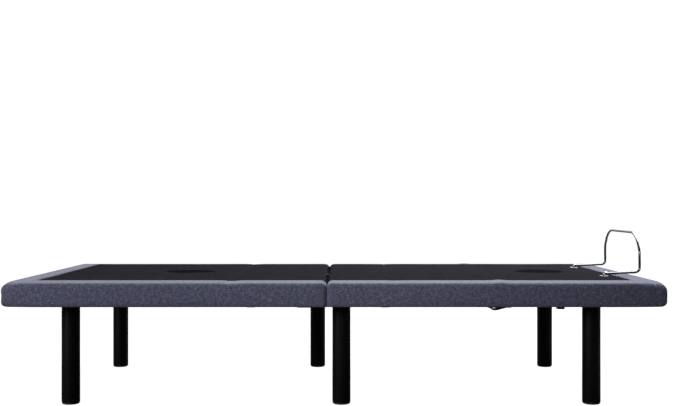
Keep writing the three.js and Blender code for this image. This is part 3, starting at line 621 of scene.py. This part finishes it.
def cover_mesh(name, fold, end, mat):
    """The closed cover of one half's rail: near side, end and far side, with rounded ends at the fold."""
    sign = 1 if end > fold else -1
    stations = side_stations(fold, end, sign)

    def drawn(x, side):
        row = rail_row(x, side, sign, end)
        row[:, 1] += side * NORMALS[:, 0] * PROFILE[:, 2] * end_inset(abs(x - fold), END_SIDE_ROUND)
        row[:, 2] -= ROLL * end_inset(abs(x - fold), END_ROUND)
        return row

    half = WIDTH / 2 - CORNER
    angles = [math.radians(a) for a in (15, 30, 45, 60, 75)]
    rows = [drawn(x, -1) for x in stations]
    rows += [corner_row(angle, -1, sign, end) for angle in angles]
    rows += [end_row(y, sign, end) for y in np.linspace(-half, half, int(2 * half / ROW))]
    rows += [corner_row(angle, 1, sign, end) for angle in reversed(angles)]
    rows += [drawn(x, 1) for x in stations[::-1]]
    grid = np.array(rows)
    count, width = grid.shape[:2]
    step = np.linalg.norm(np.diff(grid[:, OUTER_COLUMN], axis=0), axis=1)
    along = np.concatenate([[0], np.cumsum(step)])
    faces, uv = [], []
    for i in range(count - 1):
        for j in range(width):
            around = ((i, j), (i + 1, j), (i + 1, j + 1), (i, j + 1))
            faces.append(tuple(m * width + n % width for m, n in around))
            uv.append(tuple((along[m], PROFILE_T[n]) for m, n in around))
    for i in (0, count - 1):
        loop = [i * width + j for j in range(width)]
        faces.append(tuple(loop if i == 0 else loop[::-1]))
        flat = [tuple(PROFILE[j, :2]) for j in range(width)]
        uv.append(tuple(flat if i == 0 else flat[::-1]))
    if sign < 0:
        faces = [tuple(reversed(f)) for f in faces]
        uv = [tuple(reversed(f)) for f in uv]
    obj = link_mesh(name, grid.reshape(-1, 3), faces, mat)
    layer = obj.data.uv_layers.new(name="cloth")
    layer.data.foreach_set("uv", np.array([p for f in uv for p in f], np.float32).ravel())
    crease_ends(obj, width, (count - 1) * width)
    inner = (PROFILE[:, 2] == 0) | (PROFILE[:, 1] < SKIRT_LOW + 0.001)
    inner |= PROFILE[:, 0] > BAND - 0.002
    flat_end = abs(stations - fold) < HELD_RUN
    held = np.concatenate([flat_end, np.zeros(count - 2 * len(stations), bool), flat_end[::-1]])
    return obj, (held[:, None] | inner).ravel().astype(float)


def knit_noise(points, seed, size, count=24):
    """Smooth random values from 0 to 1 over the points, the same each time; size is that of the waves."""
    spread = np.random.default_rng(seed).normal(size=(count, 3)) / size
    phase = np.random.default_rng(seed + 1).uniform(0, 2 * math.pi, count)
    waves = np.sin(points @ spread.T + phase)
    return 0.5 + 0.5 * np.tanh(waves.sum(1) / math.sqrt(count) * 1.2)


def shape_joint(points, x, rise, width):
    """Lifts or drops the top of the upholstery a little where it crosses a joint."""
    depth = 0.03
    near = np.exp(-(((points[:, 0] - x) / width) ** 2))
    high = np.clip((points[:, 2] - (TOP - depth)) / depth, 0, 1)
    points[:, 2] += rise * near * high
    return points


def rail_covers(mat):
    """One cover for each half's rail, the foot half's cut in mid-thigh into two pieces."""
    made = []
    halves = (("head_cover", FOLD_HEAD, HEAD_END, 4), ("foot_cover", FOLD_FOOT, FOOT_END, 9))
    # where the rail's top rises or drops over a joint: place, height and length
    joints = ((HEAD_JOINT, -0.0022, 0.022), (KNEE_JOINT, 0.0024, 0.016), (HIP_JOINT, -0.0008, 0.02))
    for name, fold, end, seed in halves:
        obj, pin = cover_mesh(name, fold, end, mat)
        points = coordinates(obj)
        slack = 0.15 + 0.5 * knit_noise(points, seed, 0.05)
        simulate(obj, pin, RAIL_PRESSURE, slack, RAIL_PUFF)
        points = coordinates(obj)
        for x, rise, width in joints:
            points = shape_joint(points, x, rise, width)
        points[:, 0] -= SWELL * np.clip(1 - (points[:, 0] - HEAD_END) / SWELL_RUN, 0, 1)
        points[:, 0] += SWELL * np.clip(1 - (FOOT_END - points[:, 0]) / SWELL_RUN, 0, 1)
        outer = abs(points[:, 1]) > WIDTH / 2 - 0.01
        uneven = (knit_noise(points, seed + 20, 0.09) - 0.5) * 0.0012
        points[:, 1] += np.sign(points[:, 1]) * outer * uneven
        set_coordinates(obj, points)
        subdivide(obj)
        made.append(obj)
    return made[0], *cut_foot(made[1], "cover")


# ---------- the deck's cloth ----------
def lines_along(start, end, joints, step=0.013):
    """Grid lines from start to end, closer at the joints and at both ends."""
    lines = list(np.linspace(start, end, int((end - start) / step) + 1))
    near = [-0.010, -0.006, -0.003, 0, 0.003, 0.006, 0.010]
    for x in joints:
        lines = [v for v in lines if abs(v - x) > 0.013] + [x + n for n in near]
    for edge, sign in ((start, 1), (end, -1)):
        near = (0, 0.0012, 0.0035, 0.007, 0.012, 0.018)
        lines = [v for v in lines if abs(v - edge) > 0.021] + [edge + sign * n for n in near]
    return np.array(sorted(set(round(v, 6) for v in lines)))


def roll_off(distance, run, drop):
    """How far the cloth has dropped at a distance from its edge, over a quarter of an ellipse."""
    share = np.clip(1 - distance / run, 0, 1)
    return drop * (1 - np.sqrt(1 - share * share))


def deck_mesh(name, start, end, fold, mat):
    """One half's deck cloth, with sewn joints, a dip over the motor and notches for the fold hinges."""
    joints = [x for x in (HEAD_JOINT, HIP_JOINT, MID_THIGH, KNEE_JOINT) if start < x < end]
    xs = lines_along(start, end, joints)
    ys = lines_along(-DECK_HALF, DECK_HALF, [])
    for y in (EAR_Y - NOTCH_Y, EAR_Y + NOTCH_Y, -EAR_Y - NOTCH_Y, -EAR_Y + NOTCH_Y):
        ys[np.argmin(abs(ys - y))] = y
    edge_x = fold + (NOTCH_X if start == fold else -NOTCH_X)
    xs[np.argmin(abs(xs - edge_x))] = edge_x
    gx, gy = np.meshgrid(xs, ys, indexing="ij")
    away = np.minimum(np.minimum(gx - start, end - gx), DECK_HALF - abs(gy))
    at_side = roll_off(away, HEM_RUN, HEM_DROP + DECK_RISE)
    at_fold = roll_off(abs(gx - fold), END_ROUND, END_ROUND - 0.001 + DECK_RISE)
    z = DECK_TOP + DECK_RISE - np.maximum(at_side, at_fold)
    pressed = np.hypot((gx - BAR_FOOT_X) / PRESSED_X, (abs(gy) - BAR_Y) / PRESSED_Y)
    z -= (DECK_RISE + 0.0004) * np.clip(1.7 - pressed, 0, 1) * (gx > 0) * (away > HEM_RUN)
    for x in BENDS:
        z -= SEWN_DEPTH * np.exp(-(((gx - x) / SEWN_WIDTH) ** 2))
    for x in MOTORS_X:
        out = np.hypot(gx - x, gy) - MOTOR_R
        z -= MOTOR_DIP * (1 - np.clip((out + DIP_IN) / (DIP_IN + DIP_OUT), 0, 1) ** 2)
    count, width = gx.shape
    points = np.stack([gx, gy, z], -1).reshape(-1, 3)
    faces = []
    for i in range(count - 1):
        for j in range(width - 1):
            cx, cy = (xs[i] + xs[i + 1]) / 2, (ys[j] + ys[j + 1]) / 2
            if abs(cx - fold) < NOTCH_X and abs(abs(cy) - EAR_Y) < NOTCH_Y:
                continue
            faces.append((i * width + j, (i + 1) * width + j, (i + 1) * width + j + 1, i * width + j + 1))
    obj = link_mesh(name, points, faces, mat)
    work = bmesh.new()
    work.from_mesh(obj.data)
    bmesh.ops.delete(work, geom=[v for v in work.verts if not v.link_faces], context="VERTS")
    work.to_mesh(obj.data)
    work.free()
    points = coordinates(obj)
    layer = obj.data.uv_layers.new(name="cloth")
    corners = np.zeros(len(obj.data.loops), np.int32)
    obj.data.loops.foreach_get("vertex_index", corners)
    layer.data.foreach_set("uv", points[corners, :2].astype(np.float32).ravel())
    return obj


def hem(obj):
    """Closes the cloth underneath, at the board, with the same grid."""
    work = bmesh.new()
    work.from_mesh(obj.data)
    made = bmesh.ops.extrude_face_region(work, geom=list(work.faces), use_keep_orig=True)
    for v in made["geom"]:
        if isinstance(v, bmesh.types.BMVert):
            v.co.z = min(PAD_LOW + 0.0003, v.co.z - 0.003)
    bmesh.ops.recalc_face_normals(work, faces=work.faces)
    work.to_mesh(obj.data)
    work.free()
    obj.data.shade_smooth()


def deck_pin(points):
    """The deck cloth is held at its edges, at its sewn joints and round the motors."""
    low = points[:, 2] < DECK_TOP + 0.0006
    sewn = np.zeros(len(points), bool)
    for x in (*BENDS, MID_THIGH):
        sewn |= abs(points[:, 0] - x) < 0.004
    for x in MOTORS_X:
        sewn |= np.hypot(points[:, 0] - x, points[:, 1]) < MOTOR_R + 0.012
    return (low | sewn).astype(float)


def decks(mat):
    head_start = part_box("head_pad")[0].x - DECK_REACH
    foot_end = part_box("calf_pad")[1].x + DECK_REACH
    made = []
    for name, start, end, fold, seed in (
        ("head_deck", head_start, FOLD_HEAD, FOLD_HEAD, 31),
        ("foot_deck", FOLD_FOOT, foot_end, FOLD_FOOT, 57),
    ):
        obj = deck_mesh(name, start, end, fold, mat)
        points = coordinates(obj)
        slack = 0.1 + 0.5 * knit_noise(points, seed, 0.06)
        simulate(obj, deck_pin(points), DECK_PRESSURE, slack, DECK_PUFF)
        points = coordinates(obj)
        inside = np.clip((DECK_HALF - abs(points[:, 1])) / 0.03, 0, 1)
        points[:, 2] += inside * (knit_noise(points, seed + 5, 0.05) - 0.5) * 0.0011
        set_coordinates(obj, points)
        subdivide(obj)
        made.append(obj)
    made = (made[0], *cut_foot(made[1], "deck"))
    for obj in made:
        hem(obj)
    return made


def bend(obj):
    """Bakes a piece's placement into its mesh."""
    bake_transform(obj)


def upholstery():
    border, deck = border_fabric(), deck_fabric()
    head, seat, calf = rail_covers(border)
    head_deck, seat_deck, calf_deck = decks(deck)
    pairs = (
        (head, head_deck, "head_section", "head_half", HEAD_JOINT),
        (seat, seat_deck, "foot_half", "thigh_section", HIP_JOINT),
        (calf, calf_deck, "thigh_section", "calf_section", KNEE_JOINT),
    )
    for cover, pad, a, b, x in pairs:
        for obj, slot in ((cover, "border_fabric"), (pad, "deck_fabric")):
            bend(obj)
    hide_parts("head_border", "head_seat_border_near", "head_seat_border_far")
    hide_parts("foot_seat_border_near", "foot_seat_border_far")
    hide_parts("thigh_border_near", "thigh_border_far", "calf_border")
    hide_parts("head_pad", "head_seat_pad")
    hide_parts("foot_seat_pad")
    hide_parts("thigh_pad", "calf_pad")


# ---------- turned pieces ----------
def ring_faces(rings, sides):
    """The faces between rings of points, the one over the first ring and the one over the last."""
    between_rings = [
        (i * sides + k, i * sides + (k + 1) % sides, (i + 1) * sides + (k + 1) % sides, (i + 1) * sides + k)
        for i in range(rings - 1)
        for k in range(sides)
    ]
    return between_rings, tuple(range(sides))[::-1], tuple(range((rings - 1) * sides, rings * sides))


def turned(name, profile, at, mat, segments=64):
    """A solid of revolution about a vertical axis, from (radius, height) points between its two poles."""
    vertices = []
    for radius, z in profile:
        for k in range(segments):
            angle = 2 * math.pi * k / segments
            vertices.append((at[0] + radius * math.cos(angle), at[1] + radius * math.sin(angle), z))
    faces, low, high = ring_faces(len(profile), segments)
    obj = link_mesh(name, vertices, faces + [low, high], mat)
    obj.data.set_sharp_from_angle(angle=math.radians(40))
    return obj


def rounded(points, radius, steps=4):
    """The corners of an open outline, each rounded by an arc."""
    out = [points[0]]
    for before, corner, after in zip(points, points[1:], points[2:]):
        b, c, a = (np.array(p, float) for p in (before, corner, after))
        reach = min(radius, np.linalg.norm(b - c) * 0.45, np.linalg.norm(a - c) * 0.45)
        start = c + (b - c) / np.linalg.norm(b - c) * reach
        stop = c + (a - c) / np.linalg.norm(a - c) * reach
        for t in np.linspace(0, 1, steps + 1):
            out.append(tuple((1 - t) ** 2 * start + 2 * t * (1 - t) * c + t * t * stop))
    return out + [points[-1]]


LEG_NODES = [n for n in frame["nodes"] if "_leg_" in n]
STUD, STUD_R = 0.015, 0.006  # height and radius of the threaded stud on top of a leg
TURNED_EDGE = 0.0012  # rounding of the turned pieces' edges
POLE = 0.001  # the turned outlines start and end this far from the axis
RIM = 0.004  # width of the leg's rim, round the glide's plug


def leg_outline(radius, low, top):
    """Half of a leg's section: tube end, a fine groove near the top, and the stud."""
    return [
        (POLE, low + 0.001), (radius - RIM, low + 0.001), (radius - RIM, low), (radius, low),
        (radius, top - 0.022), (radius - 0.0008, top - 0.020), (radius, top - 0.018), (radius, top),
        (radius - 0.006, top), (STUD_R, top), (STUD_R, top + STUD), (POLE, top + STUD),
    ]


def glide_outline(radius, low):
    """Half of a glide's section: the foot on the floor, and its plug inside the leg's tube."""
    shape = [
        (POLE, 0.0), (radius - RIM, 0.0), (radius - 0.0008, 0.0025), (radius - 0.0008, 0.0058),
        (radius - RIM, 0.0058), (radius - RIM, 0.02), (POLE, 0.02),
    ]
    return [(r, low + z) for r, z in shape]


def legs():
    finish = leg_finish()
    plastic = moulded("glide_plastic", srgb(20, 20, 21), srgb(34, 34, 35), 0.6)
    for leg in LEG_NODES:
        low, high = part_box(leg)
        x, y, radius = (low.x + high.x) / 2, (low.y + high.y) / 2, (high.y - low.y) / 2
        outline = leg_outline(radius, low.z, high.z - STUD)
        obj = turned("turned_" + leg, rounded(outline, TURNED_EDGE), (x, y), finish)
        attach(obj, frame["nodes"][leg]["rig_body"])
        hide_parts(leg)
        glide = leg.replace("leg", "glide")
        outline = glide_outline(radius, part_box(glide)[0].z)
        obj = turned("turned_" + glide, rounded(outline, TURNED_EDGE), (x, y), plastic)
        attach(obj, frame["nodes"][glide]["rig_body"])
        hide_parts(glide)


# ---------- retainer bar ----------
def smooth_path(points, count):
    """Evenly spaced points on a Catmull-Rom curve through points."""
    p = np.array(points, float)
    p = np.vstack([2 * p[0] - p[1], p, 2 * p[-1] - p[-2]])
    fine = []
    for a, b, c, d in zip(p, p[1:], p[2:], p[3:]):
        for t in np.linspace(0, 1, 20, endpoint=False):
            square, cube = 2 * a - 5 * b + 4 * c - d, 3 * b - a - 3 * c + d
            fine.append(0.5 * (2 * b + (c - a) * t + square * t * t + cube * t ** 3))
    fine = np.array(fine + [p[-2]])
    length = np.concatenate([[0], np.cumsum(np.linalg.norm(np.diff(fine, axis=0), axis=1))])
    at = np.linspace(0, length[-1], count)
    return np.stack([np.interp(at, length, fine[:, k]) for k in range(3)], 1)


def tube(name, path, radius, mat, sides=24):
    """A round rod along a path, with domed ends."""
    tangent = np.gradient(path, axis=0)
    tangent /= np.linalg.norm(tangent, axis=1, keepdims=True)
    up = np.array([0.0, 0.0, 1.0]) if abs(tangent[0][2]) < 0.9 else np.array([0.0, 1.0, 0.0])
    rings = []
    for p, t in zip(path, tangent):
        side = np.cross(t, up)
        side /= np.linalg.norm(side)
        up = np.cross(side, t)
        rings.append((p, side, up.copy(), t))
    vertices = []

    def ring(centre, side, over, r):
        for k in range(sides):
            angle = 2 * math.pi * k / sides
            vertices.append(centre + r * (math.cos(angle) * side + math.sin(angle) * over))

    p, side, over, t = rings[0]
    for share in (0.95, 0.6, 0.25):
        ring(p - t * radius * 0.5 * share, side, over, radius * math.sqrt(1 - share * share))
    for p, side, over, t in rings:
        ring(p, side, over, radius)
    for share in (0.25, 0.6, 0.95):
        ring(p + t * radius * 0.5 * share, side, over, radius * math.sqrt(1 - share * share))
    faces, first, last = ring_faces(len(vertices) // sides, sides)
    return link_mesh(name, vertices, faces + [first, last], mat)


def retainer():
    chrome = bright_metal("chrome", srgb(124, 125, 128), 0.13, 0.10, (60.0, 60.0, 60.0))
    plated = bright_metal("bright_plating", srgb(196, 197, 200), 0.18, 0.12, (60.0, 60.0, 60.0))

    def post(inwards, z):
        return BAR_X, BAR_Y - inwards, z

    turn = 0.014  # radius of the bend at the foot of each post
    half = [
        (BAR_FOOT_X - 0.003, BAR_Y, BAR_FOOT_Z - 0.0012), (BAR_FOOT_X + 0.006, BAR_Y, BAR_LOW - 0.001),
        (BAR_FOOT_X + 0.014, BAR_Y, BAR_LOW), (BAR_X - turn - 0.020, BAR_Y, BAR_Z - 0.0008),
        (BAR_X - turn, BAR_Y, BAR_Z), (BAR_X - turn * 0.3, BAR_Y, BAR_Z + turn * 0.3),
        post(0, BAR_Z + turn), post(0, BAR_Z + 0.050), post(0.003, BAR_TOP - 0.057),
        post(0.014, BAR_TOP - 0.041), post(0.028, BAR_TOP - 0.025), post(0.049, BAR_TOP - 0.011),
        post(0.076, BAR_TOP - 0.002), post(0.098, BAR_TOP), post(0.150, BAR_TOP),
    ]
    path = smooth_path(half + [(x, -y, z) for x, y, z in half[::-1]], 260)
    bar = tube("bent_retainer_bar", path, BAR_R, chrome)
    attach(bar, "calf_section")
    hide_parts("retainer_bar")
    for side, label in ((-1, "near"), (1, "far")):
        clip = bar_clip(f"retainer_clip_{label}", side * BAR_Y, plated)
        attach(clip, "calf_section")
        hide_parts(f"retainer_bracket_{label}")


def strip(outline, width, centre, thickness=0.0018):
    """Vertices and faces of a bent metal strip: an open line in X and Z with a thickness, width along Y."""
    line = np.array(rounded(outline, 0.0035, 5))
    tangent = np.gradient(line, axis=0)
    tangent /= np.linalg.norm(tangent, axis=1, keepdims=True)
    normal = np.stack([-tangent[:, 1], tangent[:, 0]], 1)
    outer, inner = line + normal * thickness / 2, line - normal * thickness / 2
    section = np.vstack([outer, inner[::-1]])
    count = len(section)
    vertices = [(x, centre + side * width / 2, z) for side in (-1, 1) for x, z in section]
    faces, near, far = ring_faces(2, count)
    return vertices, faces + [near, far]


def bar_clip(name, y, mat):
    """The clip on the bar's foot: a flat tongue with turned-up ends, a saddle over the rod, and a screw."""
    base = TOP + 0.0002
    top = BAR_LOW + BAR_R + 0.0011
    vertices, faces = [], []

    def join(made):
        start = len(vertices)
        vertices.extend(made[0])
        faces.extend(tuple(start + i for i in f) for f in made[1])

    across = [(-0.0105, base), (-0.0062, base), (-0.0056, top), (0.0056, top), (0.0062, base), (0.0105, base)]
    saddle = strip(across, 0.009, 0)
    join(([(v[1] + BAR_FOOT_X + 0.0045, y + v[0], v[2]) for v in saddle[0]], [f[::-1] for f in saddle[1]]))
    tongue = [(-0.0130, base + 0.0022), (-0.0100, base), (0.0100, base), (0.0130, base + 0.0022)]
    join(strip([(BAR_FOOT_X + x, z) for x, z in tongue], 0.021, y, 0.0016))
    head, sides, screw_x = [], 24, BAR_FOOT_X - 0.0082
    screw = ((0.0034, 0), (0.0034, 0.0016), (0.0026, 0.0024), (0.0010, 0.0026))
    for radius, rise in screw:
        for a in np.linspace(0, 2 * math.pi, sides, endpoint=False):
            head.append((screw_x + radius * math.cos(a), y + radius * math.sin(a), base + rise))
    around, _, over = ring_faces(len(screw), sides)
    join((head, around + [over]))
    obj = link_mesh(name, vertices, faces, mat)
    obj.data.set_sharp_from_angle(angle=math.radians(35))
    edges = obj.modifiers.new("edges", "BEVEL")
    edges.width, edges.segments, edges.limit_method = 0.0004, 2, "ANGLE"
    return obj


# ---------- pieces carried over from the CAD ----------
ROUND_PARTS = (
    "actuator_body", "actuator_motor", "actuator_rod", "roller", "housing", "weight", "lift_arm", "fold_pin",
)
WELDED_EDGE, FINE_EDGE = 0.0012, 0.0005  # rounding of the edges on frames and boxes, and on round parts


def finishes():
    """The material for each CAD node that is still shown, by the record's slot names."""
    return {
        "plywood": plywood(),
        "frame_steel": powder_coat("frame_powder_coat", srgb(24, 24, 26), srgb(34, 34, 36), 0.5),
        "black_plastic": moulded("black_moulding", srgb(18, 18, 20), srgb(30, 30, 32), 0.55),
        "roller_plastic": moulded("white_nylon", srgb(214, 213, 204), srgb(196, 194, 184), 0.5),
        "rod_steel": bright_metal("ground_steel", srgb(176, 178, 182), 0.26, 0.16, (12.0, 600.0, 600.0)),
    }


def node_slots():
    """The record's material slot of each CAD node, which is its packed material's name."""
    return {name: obj.data.materials[0].name for name, obj in frame["nodes"].items()}


def soften(obj, width):
    """Rounds an object's sharp edges a little."""
    edges = obj.modifiers.new("edges", "BEVEL")
    edges.width, edges.segments = width, 2
    edges.limit_method, edges.angle_limit = "ANGLE", math.radians(38)
    edges.use_clamp_overlap = True


def smooth_copy(name, body):
    """A copy of a CAD piece, its triangles joined into faces, its round faces smooth and its edges eased."""
    node_obj = frame["nodes"][name]
    made = bpy.data.objects.new("smooth_" + name, node_obj.data.copy())
    bpy.context.scene.collection.objects.link(made)
    work = bmesh.new()
    work.from_mesh(made.data)
    bmesh.ops.remove_doubles(work, verts=work.verts, dist=1e-5)
    bmesh.ops.dissolve_limit(work, angle_limit=math.radians(1), verts=work.verts, edges=work.edges)
    work.to_mesh(made.data)
    work.free()
    made.data.shade_smooth()
    made.data.set_sharp_from_angle(angle=math.radians(32))
    soften(made, FINE_EDGE)
    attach(made, body)
    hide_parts(name)
    return made


def carried_over():
    looks = finishes()
    dark = bright_metal("blackened_steel", srgb(34, 34, 36), 0.42, 0.16, (12.0, 600.0, 600.0))
    slots = node_slots()
    for name, obj in frame["nodes"].items():
        if obj.hide_render:
            continue
        look = dark if "fold_pin" in name else looks[slots[name]]
        if any(word in name for word in ROUND_PARTS):
            made = smooth_copy(name, obj["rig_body"])
            made.data.materials.clear()
            made.data.materials.append(look)
            continue
        for place in obj.material_slots:
            place.link = "OBJECT"
            place.material = look
        if slots[name] != "plywood":
            soften(obj, WELDED_EDGE)


# ---------- stage and light ----------
FLOOR_GLOW = 0.985


def floor():
    """A floor that looks white, and throws back only a little light, like a cut-out studio picture."""
    tree, shader, made = material("pale_floor", Roughness=0.95, Specular_IOR_Level=0.0)
    place = object_place(tree)
    tone = mix(tree, noise(tree, place, 3.0, 3.0), (0.12, 0.12, 0.12, 1), (0.14, 0.14, 0.14, 1))
    tree.links.new(tone, shader.inputs["Base Color"])
    seen = node(tree, "LightPath").outputs["Is Camera Ray"]
    shader.inputs["Emission Color"].default_value = (1, 1, 1, 1)
    tree.links.new(maths(tree, "MULTIPLY", seen, FLOOR_GLOW), shader.inputs["Emission Strength"])
    obj = link_mesh("floor", [(-60, -60, 0), (60, -60, 0), (60, 60, 0), (-60, 60, 0)], [(0, 1, 2, 3)], made)


def area_light(name, place, target, size, power, colour=(1, 1, 1)):
    data = bpy.data.lights.new(name, "AREA")
    data.shape = "RECTANGLE"
    data.size, data.size_y = size
    data.energy = power
    data.color = colour
    lamp = bpy.data.objects.new(name, data)
    lamp.location = place
    lamp.rotation_euler = (Vector(target) - Vector(place)).to_track_quat("-Z", "Y").to_euler()
    bpy.context.scene.collection.objects.link(lamp)
    return data


def world():
    made = bpy.data.worlds.new("studio")
    bpy.context.scene.world = made
    made.use_nodes = True
    tree = made.node_tree
    background = tree.nodes["Background"]
    seen = node(tree, "LightPath").outputs["Is Camera Ray"]
    direction = node(tree, "SeparateXYZ", {0: node(tree, "TexCoord").outputs["Generated"]})
    back = between(tree, direction.outputs[1], -0.2, 0.9, 0.02, 0.9)
    lit = combine(tree, back, back, back)
    tree.links.new(mix(tree, seen, lit, (1, 1, 1, 1)), background.inputs["Color"])
    background.inputs["Strength"].default_value = 1.0


def lights():
    area_light("overhead", (1.3, 0.9, 2.8), (0.6, 0.1, 0.3), (3.2, 2.4), 195)
    area_light("head_side", (-3.0, -2.9, 1.6), (-0.7, -0.4, 0.3), (1.6, 1.6), 126, (0.97, 0.97, 1.0))
    area_light("foot_side", (2.8, 1.3, 1.5), (0.95, 0.0, 0.39), (1.0, 1.0), 24)
    middle = area_light("middle", (0.1, -3.3, 1.3), (0.16, -0.48, 0.35), (0.3, 0.3), 0.62)
    middle.spread = math.radians(32)


make_camera()
upholstery()
legs()
retainer()
carried_over()
floor()
world()
lights()
bpy.context.scene.view_settings.view_transform = "Standard"
